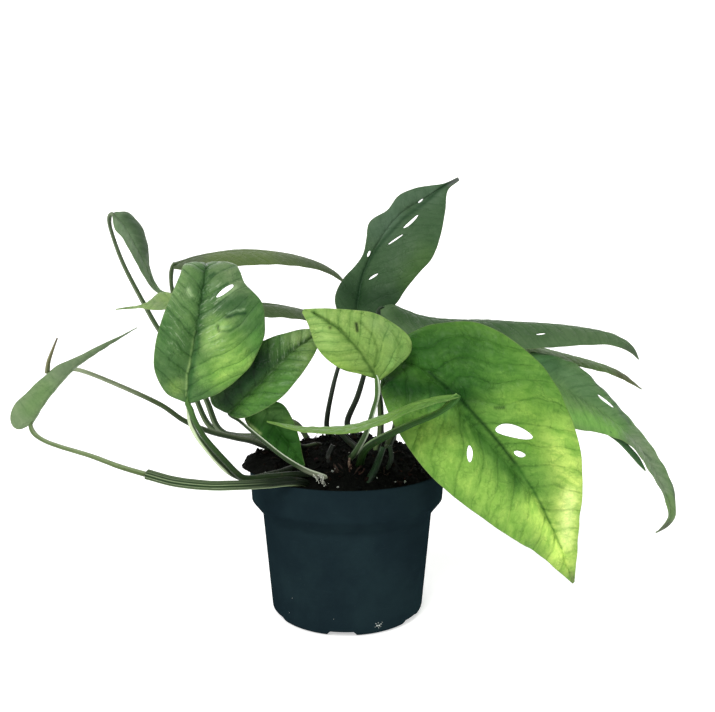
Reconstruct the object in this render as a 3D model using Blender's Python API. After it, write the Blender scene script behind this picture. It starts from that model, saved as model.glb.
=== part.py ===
"""A climbing aroid in a round nursery pot: the pot, its mounded potting mix, a stem that hangs over
the rim, and sixteen leaves, each a blade on its own stalk.

World units are metres, +Z up, +Y away from the viewer. The origin is the middle of the pot's flat
underside. Blades and stalks are drawn by sight: each point is the place where the viewer's eye sees
it on the upright plane through the pot's axis, and its distance in front of that plane."""

import math
from typing import NamedTuple

import bmesh
import bpy
import numpy as np
from mathutils import Vector, noise

MM = 0.001

# The viewer's eye, in millimetres
EYE = np.array((0.0, -500.0, 220.0))

# The pot, in millimetres
POT_HEIGHT = 93.0
RIM_RADIUS = 61.8
COLLAR_BOTTOM = (60.6, 73.5)
STEP_BOTTOM = (53.9, 65.0)
FOOT_RADIUS = 48.4
CORNER_RADIUS = 4.5
WALL = 1.6
POT_SIDES = 48
SLOT_COUNT = 6
FRONT_SLOT_ANGLE = -94.0
SLOT_BOTTOM_WIDTH, SLOT_TOP_WIDTH, SLOT_HEIGHT, SLOT_INNER_RADIUS = 20.0, 15.0, 3.5, 38.0

# The potting mix
GAP, SIDE_GAP = 0.35, 0.6
MOUND_HEIGHT = 16.0
MOUND_EDGE_DROP = 3.0
SOIL_SIDES = 40
SOIL_RINGS = 7
CLOD_ANGLE_DEG, CLOD_SPREAD_DEG, CLOD_RISE, CLOD_OVERHANG = 183.0, 26.0, 12.0, 5.0
SOCKET_DEPTH = 9.0
FOOT_UPRIGHT = 0.7

# Blades and stalks
BLADE_THICKNESS = 0.8
BLADE_ROWS, BLADE_HALF_COLUMNS = 14, 3
LEAST_HALF_WIDTH = 0.4
STALK_SIDES = 6
STALK_STEP = 7.0
STALK_END_GAP = 0.75


class Leaf(NamedTuple):
    """A blade, drawn by its midrib and its two margins, each from the stalk to the tip. Left and
    right are as seen from the upper side with the tip ahead. A point is (across, up, toward). A
    margin point may be only (across, up): it then lies where its line of sight meets the plane of
    its half of the blade. That plane's normal turns from face at the stalk to face_tip at the tip,
    and each half is folded up from it by fold degrees. Each half bulges by arch of its width."""

    midrib: tuple
    left: tuple
    right: tuple
    face: tuple = (0.0, -1.0, 0.0)
    face_tip: tuple = (0.0, -1.0, 0.0)
    fold: tuple = (10, 10)
    arch: float = 0.07


class Stalk(NamedTuple):
    """A leaf stalk or stem: x, y where it leaves the soil, or None where it grows from another
    piece, the sighted points along it, and its radius at its foot and at its top."""

    root: tuple
    route: tuple
    radius: tuple


def sighted(across, up, toward):
    """The point, in millimetres, that the viewer sees at across, up on the upright plane through
    the pot's axis, and that lies toward mm in front of that plane."""
    on_plane = np.array((across, 0.0, up))
    return EYE + (on_plane - EYE) * (1 + toward / EYE[1])


LEAVES = {
    "left_front": Leaf(
        midrib=(
            (-101, 133, 52), (-99, 149, 53), (-95, 172, 53), (-91, 195, 50), (-88, 212, 44),
            (-87, 220, 33), (-89, 218, 16), (-91, 208, 5),
        ),
        left=(
            (-104, 134, 53), (-114, 139, 59), (-121, 154, 65), (-120, 170, 66), (-115, 187, 63),
            (-108, 203.5, 58), (-104, 212, 52), (-100.5, 219.8, 39), (-95.5, 218.5, 20), (-91.5, 207, 5),
        ),
        right=(
            (-97, 133, 51), (-79, 140, 48), (-63, 154, 46), (-53, 172, 46), (-51.6, 185, 44.5),
            (-53.5, 197, 42.5), (-59.5, 203.7, 41), (-64, 208.5, 39.5), (-66.5, 215.5, 37),
            (-70.5, 220, 29), (-80, 217, 12), (-89, 207, 4),
        ),
    ),
    "left_upright": Leaf(
        midrib=(
            (-144, 251, -50), (-138, 245, -46), (-132, 234, -42), (-126, 222, -39), (-122, 212, -37),
            (-118, 204, -36), (-109, 201, -35),
        ),
        left=(
            (-141, 252, -53), (-134, 251, -58), (-128, 245, -57), (-123, 232, -52), (-121, 216, -45),
            (-117, 205.5, -38), (-109, 201.5, -36),
        ),
        right=(
            (-144, 249, -47), (-143, 242.5, -38), (-137.3, 234.8, -32), (-130.2, 222, -31), (-124.8, 211, -32),
            (-119, 203, -34), (-109, 200.5, -34),
        ),
    ),
    "back_left": Leaf(
        midrib=(
            (-108, 219, -72), (-91, 225, -77), (-66, 228, -82), (-41, 227, -86), (-20, 222, -88),
            (-7, 215, -88), (-1, 208, -87),
        ),
        left=(
            (-108, 221, -76), (-91, 224, -95), (-66, 227, -105), (-41, 225, -106), (-20, 220, -101),
            (-7, 214, -94), (-1, 209, -89),
        ),
        right=(
            (-107, 217, -68), (-94, 216, -60), (-66, 219, -62), (-42, 220, -68), (-26, 218, -75),
            (-14, 215, -80), (-1, 208, -86),
        ),
    ),
    "small_left": Leaf(
        midrib=(
            (-100, 197, 12), (-109, 197, 12), (-118, 197, 11), (-127, 194.5, 9), (-135, 193, 7),
            (-144, 192, 5),
        ),
        left=(
            (-101, 196, 13), (-109, 193, 18), (-117, 191.5, 17), (-124, 192, 13), (-129, 192.9, 10),
            (-136, 192.4, 7), (-144, 191.8, 5),
        ),
        right=(
            (-101, 198, 11), (-107, 201.5, 6), (-113, 203.4, 4), (-118, 202.2, 4), (-122.5, 197.5, 5),
            (-127.5, 195, 7), (-134, 193.8, 7), (-144, 192.3, 5),
        ),
    ),
    "far_left": Leaf(
        midrib=(
            (-200, 119, 46), (-194.8, 126.4, 45), (-190.9, 132.5, 44), (-184.3, 140.9, 42),
            (-177.8, 148.5, 40), (-170, 156, 38), (-162.3, 161.1, 36), (-154.5, 166.1, 34),
            (-145.7, 171.5, 32), (-138.8, 175.7, 31), (-131, 180.6, 30),
        ),
        left=(
            (-202, 118.3, 46), (-207, 115.8, 47), (-211, 117.8, 47), (-212.3, 124.5, 46), (-209, 132.5, 45),
            (-202.5, 138.6, 44), (-197.5, 143.2, 43), (-193.3, 147, 42), (-189, 150.8, 41.5), (-184, 155.4, 40.5),
            (-179.5, 158.2, 39.5), (-174.5, 160, 38.5), (-168.5, 162.9, 37), (-160, 167.1, 35),
            (-151.4, 171.2, 33.5), (-143.1, 174.9, 32), (-136.8, 178, 31), (-131, 180.9, 30),
        ),
        right=(
            (-199, 119.3, 44), (-195, 127.6, 36), (-191.5, 133.9, 31), (-185.3, 142.3, 28), (-178.8, 150, 27),
            (-171, 157.4, 27), (-163.3, 162.4, 27), (-155.3, 167.3, 28), (-146.4, 172.2, 28.5),
            (-139.2, 176.1, 29), (-131, 180.4, 30),
        ),
    ),
    "back_middle": Leaf(
        midrib=((-62, 194, -62), (-53, 195, -67), (-39, 194, -74), (-22, 190, -80), (-8, 182, -84)),
        left=((-61, 195, -66), (-53, 195, -79), (-39, 193, -87), (-22, 189, -90), (-8, 183, -85)),
        right=((-61, 192, -58), (-53, 187, -50), (-39, 187, -54), (-23, 185, -67), (-8, 182, -83)),
    ),
    "centre_left": Leaf(
        midrib=(
            (-75, 126, 40), (-63, 137, 42), (-49, 151, 42), (-35, 164, 39), (-25, 172, 34),
            (-16, 178, 28),
        ),
        left=(
            (-78, 127), (-85, 132), (-86, 142), (-77, 155), (-64, 166), (-51, 173), (-39, 177),
            (-26, 180), (-16, 179),
        ),
        right=(
            (-73, 124), (-66, 123), (-54, 128), (-42, 136), (-32, 147), (-24, 158), (-19, 167),
            (-15, 177),
        ),
        face=(-0.1, -0.95, 0.3),
        face_tip=(0.0, -0.9, 0.45),
        fold=(12, 12),
    ),
    "low_inner": Leaf(
        midrib=((-56, 133, 30), (-51, 127, 33), (-45, 117, 36), (-36, 104, 38), (-28, 91, 39)),
        left=((-53, 133), (-42, 133), (-36, 125), (-31, 112), (-29, 101), (-27, 92)),
        right=((-58, 133), (-65, 125), (-62, 117), (-54, 109), (-42, 98), (-28, 91)),
        face=(0.2, -0.95, 0.2),
        face_tip=(0.2, -0.95, 0.2),
        fold=(12, 2),
    ),
    "pale_centre": Leaf(
        midrib=((19, 147, 48), (16, 158, 50), (8, 168, 51), (-1, 176, 50), (-14, 186, 46), (-27, 192, 38)),
        left=((18, 148), (9, 151), (-3, 154), (-13, 161), (-20, 170), (-24, 182), (-28, 190)),
        right=(
            (21, 147), (32, 156), (40, 164), (40, 173), (32, 181), (19, 189), (2, 192), (-14, 193),
            (-27, 192),
        ),
        face=(0.1, -0.93, 0.35),
        face_tip=(0.0, -0.85, 0.5),
        fold=(10, 8),
    ),
    "cross_front": Leaf(
        midrib=(
            (70, 137, 78), (59, 135, 79), (43, 131, 80), (24, 122, 80), (2, 116, 80), (-27, 116, 79),
            (-51, 121, 77),
        ),
        left=(
            (71, 136, 80), (59, 133, 86), (43, 128, 92), (24, 119, 95), (2, 113, 95), (-27, 114, 89),
            (-50, 120, 78),
        ),
        right=(
            (70, 138, 76), (59, 137, 72), (43, 133, 68), (24, 125, 66), (2, 118, 66), (-27, 117, 70),
            (-50, 121, 76),
        ),
    ),
    "big_front": Leaf(
        midrib=(
            (26, 162, 26), (41, 157, 37), (61, 141, 48), (74, 123, 54), (91, 106, 59), (106, 88, 61),
            (124, 64, 62), (137, 39, 60), (147, 13, 56),
        ),
        left=(
            (28, 165), (38, 176), (58, 183), (82, 183), (106, 171), (127, 152), (140, 129), (148, 108),
            (151, 82), (150, 52), (148, 14),
        ),
        right=(
            (23, 159), (21, 146), (25, 129), (35, 110), (52, 87), (74, 67), (99, 49), (122, 34),
            (139, 20), (147, 13),
        ),
        face=(-0.1, -0.8, 0.6),
        face_tip=(-0.15, -0.95, 0.3),
        fold=(9, 5),
    ),
    "tall_back": Leaf(
        midrib=(
            (5, 183, -40), (7, 198, -43), (10, 213, -47), (16, 227, -50), (27, 244, -54),
            (36, 253, -58), (48, 260, -62), (60, 268, -65), (69, 272, -67),
        ),
        left=(
            (2, 183), (-5, 189), (-7.6, 199.2), (-2.6, 210.4), (9, 224), (12, 235), (14, 246), (25, 253),
            (32, 262), (45, 267), (59, 269), (68, 273),
        ),
        right=(
            (7, 182), (19.6, 186.6), (30.8, 195.6), (35.9, 203.6), (44.7, 214.5), (53, 224), (58, 238), (61, 254),
            (62, 265), (69, 271),
        ),
        face=(-0.15, -0.95, 0.2),
        face_tip=(-0.15, -0.95, 0.25),
        fold=(20, 10),
    ),
    "right_upper": Leaf(
        midrib=(
            (20, 192, -14), (28, 195, -16), (37, 191, -20), (52, 186.3, -26), (83, 184.3, -34),
            (121, 183, -41), (159, 178, -44), (175, 171.4, -42), (181.3, 165.8, -40), (184.3, 160, -38),
        ),
        left=(
            (21, 193, -17), (27, 194, -22), (37, 190, -30), (52, 185.4, -45), (83, 182.5, -60),
            (121, 180.3, -63), (159, 177.2, -56), (174, 173.2, -49), (181.4, 167.2, -43), (184.5, 160.3, -38.5),
        ),
        right=(
            (21, 191, -13), (24, 181, -4), (36, 174, -1), (65, 168, -8), (96, 166, -16),
            (122, 167.2, -24), (147, 169.3, -31), (166, 169.2, -36), (175.5, 166.3, -38), (180.8, 163.2, -38.5),
            (184.1, 159.9, -38),
        ),
    ),
    "right_middle": Leaf(
        midrib=(
            (77, 169, -66), (103, 170, -72), (128, 166, -75), (154, 159, -75), (173, 152, -72),
            (187, 141, -68),
        ),
        left=(
            (78, 170, -70), (103, 168, -88), (128, 165, -91), (154, 158, -87), (173, 151, -80),
            (187.4, 141.2, -69),
        ),
        right=(
            (78, 167, -62), (103, 162, -54), (128, 159, -57), (154, 154, -62), (173, 148, -66),
            (187, 140.8, -67.5),
        ),
    ),
    "right_drooping": Leaf(
        midrib=(
            (78, 152, -8), (103, 152, -10), (129, 146, -11), (151, 134, -10), (173, 118, -7),
            (190, 100, -4), (202, 79, -2), (209, 63, 0), (207, 52, 2), (200, 47, 4),
        ),
        left=(
            (79, 156, -12), (96, 162, -24), (122, 164, -30), (144, 157, -28), (160, 143.5, -23),
            (181, 121.5, -17), (198, 101, -11), (209, 81, -6), (213, 67, -3), (210, 53, 0), (201, 47, 3),
        ),
        right=(
            (78, 148, -4), (97, 134, 8), (122, 118, 10), (145, 115.6, 8), (160, 113, 6), (171, 109.5, 5),
            (181, 104.5, 4), (188.5, 96, 3.5), (198, 81.5, 3), (205.5, 68.5, 3), (207, 56, 3), (200, 46.5, 5),
        ),
    ),
}

# Each stalk's route runs from its foot to the blade.
STALKS = {
    "left_front": Stalk(
        root=(-19, -42),
        route=(
            (-37, 86, 46), (-50, 85, 48), (-60, 84, 50), (-66.5, 84.5, 52), (-71, 88, 52),
            (-76.5, 94, 52), (-84.5, 103.2, 52), (-91.5, 112.3, 52), (-97, 123, 52), (-99, 129, 52),
        ),
        radius=(2.4, 1.4),
    ),
    "left_upright": Stalk(
        root=(-40, 8),
        route=(
            (-54, 109, -8), (-71, 111, -18), (-82, 117, -26), (-89, 135, -32), (-99, 157, -37),
            (-116, 177, -42), (-127.6, 198, -47), (-138.7, 221, -53), (-145, 240, -55), (-146, 248, -52),
        ),
        radius=(2.3, 1.2),
    ),
    "back_left": Stalk(
        root=(-36, 20),
        route=(
            (-50, 111, -24), (-71, 112, -34), (-86, 117, -42), (-94, 132, -49), (-100, 154, -57),
            (-105, 185, -66), (-109, 207, -71),
        ),
        radius=(2.3, 1.3),
    ),
    "small_left": Stalk(
        root=(-29, -31),
        route=(
            (-43, 88, 39), (-52, 86, 40), (-61, 84, 42), (-68, 84.5, 44), (-75, 88, 46),
            (-81.5, 94, 46), (-89, 103, 46), (-95.5, 112, 44), (-99.5, 122, 38), (-100, 138, 28),
            (-98, 167, 18), (-98, 187, 13),
        ),
        radius=(2.0, 1.0),
    ),
    "far_left": Stalk(
        root=None,
        route=(
            (-129, 87, 49), (-145, 92, 50), (-163, 99, 50), (-182, 105, 49), (-192, 109, 48),
            (-198, 113.5, 47),
        ),
        radius=(2.2, 1.2),
    ),
    "back_middle": Stalk(
        root=(-26, 30),
        route=((-32, 119, -36), (-45, 125, -44), (-54, 136, -51), (-60, 154, -57), (-63, 176, -62)),
        radius=(2.0, 1.2),
    ),
    "centre_left": Stalk(
        root=(-12, -47),
        route=((-26, 89, 52), (-40, 97.5, 52), (-54, 109, 48), (-62, 116, 43), (-69, 122, 35)),
        radius=(2.4, 1.2),
    ),
    "low_inner": Stalk(
        root=(-18, -8),
        route=((-30, 105, 12), (-43, 119, 16), (-53, 130, 22)),
        radius=(2.0, 1.2),
    ),
    "pale_centre": Stalk(
        root=(2, -30),
        route=((6, 102, 35), (12, 113, 39), (16, 126, 43), (19, 137, 46)),
        radius=(1.9, 1.3),
    ),
    "cross_front": Stalk(
        root=(7, -36),
        route=((12, 103, 48), (24, 111, 60), (41, 119, 71), (59, 127, 77)),
        radius=(2.4, 1.6),
    ),
    "big_front": Stalk(
        root=(18, -16),
        route=((21, 112, 14), (21, 131, 10), (19, 147, 12), (21, 156, 18)),
        radius=(2.8, 1.8),
    ),
    "tall_back": Stalk(
        root=(-10, 8),
        route=((-13, 119, -14), (-10, 138, -22), (-5, 157, -31), (2, 174, -38)),
        radius=(2.3, 1.4),
    ),
    "right_upper": Stalk(
        root=(6, 14),
        route=((0, 120, -20), (7, 138, -21), (13, 160, -21), (17, 179, -20)),
        radius=(2.5, 1.4),
    ),
    "right_middle": Stalk(
        root=(30, 14),
        route=((30, 115, -21), (35, 134, -35), (46, 154, -49), (62, 166, -60)),
        radius=(2.2, 1.3),
    ),
    "right_drooping": Stalk(
        root=(26, -4),
        route=((26, 105, 2), (34, 122, -4), (47, 138, -8), (65, 150, -9)),
        radius=(2.6, 1.6),
    ),
}

# The stem that hangs over the rim and carries the far left leaf, the rolled new leaf, and short
# old stubs by the crown
STEMS = {
    "left_sheath_stem": Stalk(
        root=(-24, -47),
        route=(
            (-36, 82, 53), (-47, 81, 56), (-60, 80, 58), (-73, 79.5, 58), (-89, 79.5, 55),
            (-110, 82, 51), (-128, 87, 49),
        ),
        radius=(2.5, 2.8),
    ),
    "rolled_new_stalk": Stalk(
        root=(-44, -4),
        route=(
            (-60, 108, 2), (-71, 110.5, 0), (-87, 114.5, 0), (-103, 121.5, 4), (-118, 132, 9),
            (-143, 144, 15), (-168, 154, 20), (-179, 153, 22), (-186, 152, 22),
        ),
        radius=(2.0, 1.2),
    ),
    "rolled_new_leaf": Stalk(
        root=None,
        route=((-188, 152, 22), (-187, 159, 22), (-184, 167, 21), (-181, 174, 20)),
        radius=(1.5, 0.5),
    ),
    "old_stub_left": Stalk(
        root=(6, -16),
        route=((1, 108, 12), (-6, 116, 8)),
        radius=(2.2, 1.7),
    ),
    "old_stub_middle": Stalk(
        root=(-11, -32),
        route=((-12, 98.5, 31), (-9, 105.5, 30)),
        radius=(2.0, 1.4),
    ),
    "old_stub_right": Stalk(
        root=(24, -36),
        route=((28, 97, 36), (27, 105, 35)),
        radius=(1.7, 1.2),
    ),
    "old_sheath": Stalk(
        root=(13, -48),
        route=((18, 90, 46), (23, 104, 42)),
        radius=(2.4, 1.6),
    ),
}

# What carries each stalk that doesn't grow from the soil
GROWS_FROM = {"far_left_stalk": "left_sheath_stem", "rolled_new_leaf": "rolled_new_stalk"}


def smooth_path(points, spacing):
    """Evenly spaced points, about spacing apart, along a Catmull-Rom curve through these points."""
    p = np.array(points, float)
    padded = np.vstack((2 * p[0] - p[1], p, 2 * p[-1] - p[-2]))
    fine = []
    for i in range(len(p) - 1):
        a, b, c, d = padded[i : i + 4]
        for t in np.linspace(0, 1, 24, endpoint=False):
            fine.append(
                0.5
                * (
                    2 * b
                    + (c - a) * t
                    + (2 * a - 5 * b + 4 * c - d) * t**2
                    + (3 * b - a - 3 * c + d) * t**3
                )
            )
    fine = np.array(fine + [p[-1]])
    along = np.concatenate(([0], np.cumsum(np.linalg.norm(np.diff(fine, axis=0), axis=1))))
    count = max(4, round(along[-1] / spacing) + 1)
    at = np.linspace(0, along[-1], count)
    return np.stack([np.interp(at, along, fine[:, k]) for k in range(3)], axis=1)


def unit(v):
    return v / np.linalg.norm(v, axis=-1, keepdims=True)


def at_share(line, share):
    """Points at these shares of the way along a line of evenly spaced points."""
    at = np.clip(share, 0, 1) * (len(line) - 1)
    return np.stack([np.interp(at, range(len(line)), line[:, k]) for k in range(3)], axis=-1)


def margin_line(leaf, rib, picks, side):
    """A blade's margin as a smooth line. side is -1 on the left and 1 on the right."""
    drawn = np.array([pick[:2] for pick in picks], float)
    run = np.concatenate(([0], np.cumsum(np.linalg.norm(np.diff(drawn, axis=0), axis=1))))
    points = []
    for pick, share in zip(picks, run / run[-1]):
        if len(pick) == 3:
            points.append(sighted(*pick))
            continue
        centre = at_share(rib, share)
        ahead = unit(at_share(rib, share + 0.03) - at_share(rib, share - 0.03))
        face = np.array(leaf.face) * (1 - share) + np.array(leaf.face_tip) * share
        normal = unit(face - (face @ ahead) * ahead)
        fold = math.radians(leaf.fold[0 if side < 0 else 1])
        normal = normal * math.cos(fold) - side * np.cross(ahead, normal) * math.sin(fold)
        ray = sighted(*pick, 0.0) - EYE
        points.append(EYE + ray * ((centre - EYE) @ normal) / (ray @ normal))
    return smooth_path(points, 1.0)


def blade_points(leaf, along, across):
    """Points, in millimetres, of the blade's middle surface. along runs 0 to 1 from stalk to tip,
    and across -1 to 1 from the left margin to the right one."""
    rib = smooth_path([sighted(*s) for s in leaf.midrib], 1.0)
    left = margin_line(leaf, rib, leaf.left, -1)
    right = margin_line(leaf, rib, leaf.right, 1)
    a, b = np.broadcast_arrays(np.asarray(along, float), np.asarray(across, float))
    side = np.where(b < 0, -1.0, 1.0)[..., None]
    centre = at_share(rib, a)
    ahead = unit(at_share(rib, a + 0.02) - at_share(rib, a - 0.02))
    inner = np.clip(a, 0.05, 0.95)
    spread = unit(at_share(right, inner) - at_share(left, inner))
    half = np.where(side < 0, at_share(left, a), at_share(right, a)) - centre
    half = half + side * LEAST_HALF_WIDTH * spread
    width = np.linalg.norm(half, axis=-1, keepdims=True)
    normal = side * unit(np.cross(half, ahead))
    out = np.abs(b)[..., None]
    return centre + half * out + normal * leaf.arch * width * 4 * out * (1 - out)


def place_of(obj):
    """Where an object's origin lies, in metres. No object here is turned."""
    return obj.location + place_of(obj.parent) if obj else Vector()


def new_object(name, mesh, origin, parent, colour, roughness):
    """An object in the scene with a material of its own. Its origin is in millimetres."""
    obj = bpy.data.objects.new(name, mesh)
    bpy.context.scene.collection.objects.link(obj)
    obj.parent = parent
    obj.location = Vector(origin) * MM - place_of(parent)
    material = bpy.data.materials.new(name)
    material.use_nodes = True
    shader = material.node_tree.nodes["Principled BSDF"]
    shader.inputs["Base Color"].default_value = (*colour, 1)
    shader.inputs["Roughness"].default_value = roughness
    shader.inputs["Metallic"].default_value = 0.0
    mesh.materials.append(material)
    return obj


def mesh_of(name, points, faces, origin=(0.0, 0.0, 0.0)):
    """A mesh from points in millimetres, counted from the origin, with its faces turned outwards."""
    mesh = bpy.data.meshes.new(name)
    mesh.from_pydata([tuple(p * MM) for p in np.asarray(points, float) - origin], [], faces)
    shape = bmesh.new()
    shape.from_mesh(mesh)
    bmesh.ops.recalc_face_normals(shape, faces=shape.faces)
    shape.to_mesh(mesh)
    shape.free()
    mesh.shade_smooth()
    mesh.set_sharp_from_angle(angle=math.radians(40))
    return mesh


def grid_faces(rows, columns, first=0, flip=False):
    faces = []
    for i in range(rows - 1):
        for j in range(columns - 1):
            a = first + i * columns + j
            face = (a, a + 1, a + columns + 1, a + columns)
            faces.append(face[::-1] if flip else face)
    return faces


def make_blade(name, leaf, parent, colour):
    """A thin closed solid: the blade's surface, offset half its thickness to each side. Its origin
    is where its stalk ends."""
    along = np.linspace(0, 1, BLADE_ROWS)[:, None]
    across = np.linspace(-1, 1, 2 * BLADE_HALF_COLUMNS + 1)[None, :]
    middle = blade_points(leaf, along, across)
    rows, columns = middle.shape[:2]
    du = np.gradient(middle, axis=0)
    dv = np.gradient(middle, axis=1)
    normal = unit(np.cross(du, dv))
    top = (middle + normal * BLADE_THICKNESS / 2).reshape(-1, 3)
    bottom = (middle - normal * BLADE_THICKNESS / 2).reshape(-1, 3)
    faces = grid_faces(rows, columns) + grid_faces(rows, columns, len(top), flip=True)
    rim = (
        [j for j in range(columns)]
        + [i * columns + columns - 1 for i in range(1, rows)]
        + [(rows - 1) * columns + j for j in range(columns - 2, -1, -1)]
        + [i * columns for i in range(rows - 2, 0, -1)]
    )
    for p, q in zip(rim, rim[1:] + rim[:1]):
        faces.append((q, p, p + len(top), q + len(top)))
    base = sighted(*leaf.midrib[0])
    mesh = mesh_of(name, np.vstack((top, bottom)), faces, base)
    return new_object(name, mesh, base, parent, colour, 0.45)


def tube_mesh(name, line, radii, sides):
    """A closed tube along a line of points, with flat ends, counted from its first point."""
    tangent = unit(np.gradient(line, axis=0))
    across = np.cross(tangent[0], (0.0, 0.0, 1.0))
    if np.linalg.norm(across) < 0.1:
        across = np.cross(tangent[0], (0.0, 1.0, 0.0))
    points = []
    for centre, ahead, radius in zip(line, tangent, radii):
        across = unit(across - (across @ ahead) * ahead)
        other = np.cross(ahead, across)
        for k in range(sides):
            angle = 2 * math.pi * k / sides
            points.append(centre + radius * (across * math.cos(angle) + other * math.sin(angle)))
    count = len(line)
    faces = [tuple(range(sides))[::-1], tuple((count - 1) * sides + k for k in range(sides))]
    for i in range(count - 1):
        for k in range(sides):
            a, b = i * sides + k, i * sides + (k + 1) % sides
            faces.append((a, b, b + sides, a + sides))
    return mesh_of(name, points, faces, line[0])


def soil_top(x, y):
    """Height of the potting mix at x, y, in millimetres."""
    radius = math.hypot(x, y)
    share = min(radius / (RIM_RADIUS - 3), 1.0)
    mound = POT_HEIGHT - MOUND_EDGE_DROP + (MOUND_HEIGHT + MOUND_EDGE_DROP) * (1 - share**2.2)
    lumps = 2.2 * noise.noise(Vector((x, y, 3.0)) * 0.06)
    clod = CLOD_RISE * clod_share(math.degrees(math.atan2(y, x))) * share**4
    return mound + lumps * (1 - share**4) + clod


def stalk_line(stalk, blade=None, spacing=STALK_STEP):
    """Points along a stalk, from its foot in the soil or on another piece to its blade, if any."""
    points = [sighted(*s) for s in stalk.route]
    if blade is not None:
        base = sighted(*blade.midrib[0])
        ahead = unit(base - points[-1])
        # A stalk that comes up under its own blade stops sooner, so that its end clears the blade.
        under = max(0.0, -float(ahead @ unit(sighted(*blade.midrib[1]) - base)))
        gap = (STALK_END_GAP + stalk.radius[1] * under) / math.sqrt(1 - under**2)
        points.append(base - gap * ahead)
    if stalk.root is not None:
        foot = np.array((*stalk.root, soil_top(*stalk.root)))
        lean = unit(unit(points[0] - foot) + (0, 0, FOOT_UPRIGHT))
        points = [foot - lean * SOCKET_DEPTH, foot] + points
    return smooth_path(points, spacing)


def stalk_radii(stalk, count):
    return np.linspace(stalk.radius[0], stalk.radius[1], count)


def make_stalk(name, stalk, blade, parent, colour):
    """A stalk or stem. Its origin is its foot."""
    line = stalk_line(stalk, blade)
    mesh = tube_mesh(name, line, stalk_radii(stalk, len(line)), STALK_SIDES)
    return new_object(name, mesh, line[0], parent, colour, 0.5)


def spin_profile(name, profile, sides):
    """A solid of revolution about Z: the closed outline (radius, height) turned once."""
    shape = bmesh.new()
    verts = [shape.verts.new((r * MM, 0, z * MM)) for r, z in profile]
    edges = [shape.edges.new(pair) for pair in zip(verts, verts[1:])]
    bmesh.ops.spin(
        shape, geom=verts + edges, axis=(0, 0, 1), cent=(0, 0, 0),
        angle=2 * math.pi, steps=sides, use_merge=True,
    )
    bmesh.ops.remove_doubles(shape, verts=shape.verts, dist=1e-6)
    bmesh.ops.recalc_face_normals(shape, faces=shape.faces)
    mesh = bpy.data.meshes.new(name)
    shape.to_mesh(mesh)
    shape.free()
    mesh.shade_smooth()
    mesh.set_sharp_from_angle(angle=math.radians(35))
    return mesh


def pot_profile():
    """Outline from the middle of the underside, up the outside, and down the inside."""
    corner = [
        (
            FOOT_RADIUS - CORNER_RADIUS * (1 - math.sin(math.radians(t))),
            CORNER_RADIUS * (1 - math.cos(math.radians(t))),
        )
        for t in (0, 30, 60, 85)
    ]
    outside = [(0, 0), *corner, STEP_BOTTOM, COLLAR_BOTTOM, (RIM_RADIUS, POT_HEIGHT)]
    inside = [
        (RIM_RADIUS - WALL, POT_HEIGHT),
        (COLLAR_BOTTOM[0] - WALL, COLLAR_BOTTOM[1] + WALL * 0.6),
        (STEP_BOTTOM[0] - WALL, STEP_BOTTOM[1] + WALL * 0.6),
        (FOOT_RADIUS - WALL - 0.4, CORNER_RADIUS + 0.5),
        (FOOT_RADIUS - CORNER_RADIUS, WALL + 0.2),
        (0, WALL + 0.2),
    ]
    return outside + inside


def make_pot(colour):
    """The pot's thin shell, with drain slots cut through the corner of its foot."""
    mesh = spin_profile("pot", pot_profile(), POT_SIDES)
    pot = new_object("pot", mesh, (0, 0, 0), None, colour, 0.5)
    for k in range(SLOT_COUNT):
        name = f"slot_cutter_{k + 1}"
        bottom, top = SLOT_BOTTOM_WIDTH / 2, SLOT_TOP_WIDTH / 2
        low, high = -1.0, SLOT_HEIGHT
        inner, outer = SLOT_INNER_RADIUS, FOOT_RADIUS + 4
        section = [(-bottom, low), (bottom, low), (top, high), (-top, high)]
        points = [(inner, y, z) for y, z in section] + [(outer, y, z) for y, z in section]
        faces = [
            (0, 1, 2, 3), (4, 5, 6, 7), (0, 1, 5, 4), (1, 2, 6, 5), (2, 3, 7, 6), (3, 0, 4, 7),
        ]
        cutter = bpy.data.objects.new(name, mesh_of(name, points, faces))
        bpy.context.scene.collection.objects.link(cutter)
        cutter.rotation_euler.z = math.radians(FRONT_SLOT_ANGLE + 360 / SLOT_COUNT * k)
        cutter.hide_render = True
        cutter.display_type = "WIRE"
        cut = pot.modifiers.new(name, "BOOLEAN")
        cut.object = cutter
    return pot


def clod_share(angle_deg):
    """How much of the clod that spills over the rim lies at this angle, 0 to 1."""
    turn = (angle_deg - CLOD_ANGLE_DEG + 180) % 360 - 180
    return math.exp(-((turn / CLOD_SPREAD_DEG) ** 2))


def soil_outline(angle_deg):
    """The mix's outline at this angle, (radius, height) from the floor up and in to the middle."""
    way = np.array((math.cos(math.radians(angle_deg)), math.sin(math.radians(angle_deg))))
    wall = [(r - SIDE_GAP, z) for r, z in reversed(pot_profile()[-5:-2])]
    clod = clod_share(angle_deg)
    lip = POT_HEIGHT - 2.5 + (2.5 + GAP) * min(1.0, clod / 0.05)
    edge = RIM_RADIUS - WALL - SIDE_GAP
    over = edge + (WALL + SIDE_GAP + CLOD_OVERHANG) * max(0.0, clod - 0.25) / 0.75
    outline = [(FOOT_RADIUS - CORNER_RADIUS - 1, WALL + 0.2 + GAP), *wall, (edge, lip)]
    outline += [(over + 0.05, lip + 0.3), (over, lip + 0.4 + 4 * clod)]
    for ring in range(SOIL_RINGS, 0, -1):
        r = (over - 1.5) * ring / SOIL_RINGS
        outline.append((r, max(soil_top(*(way * r)), lip + 0.8)))
    return outline


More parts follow.
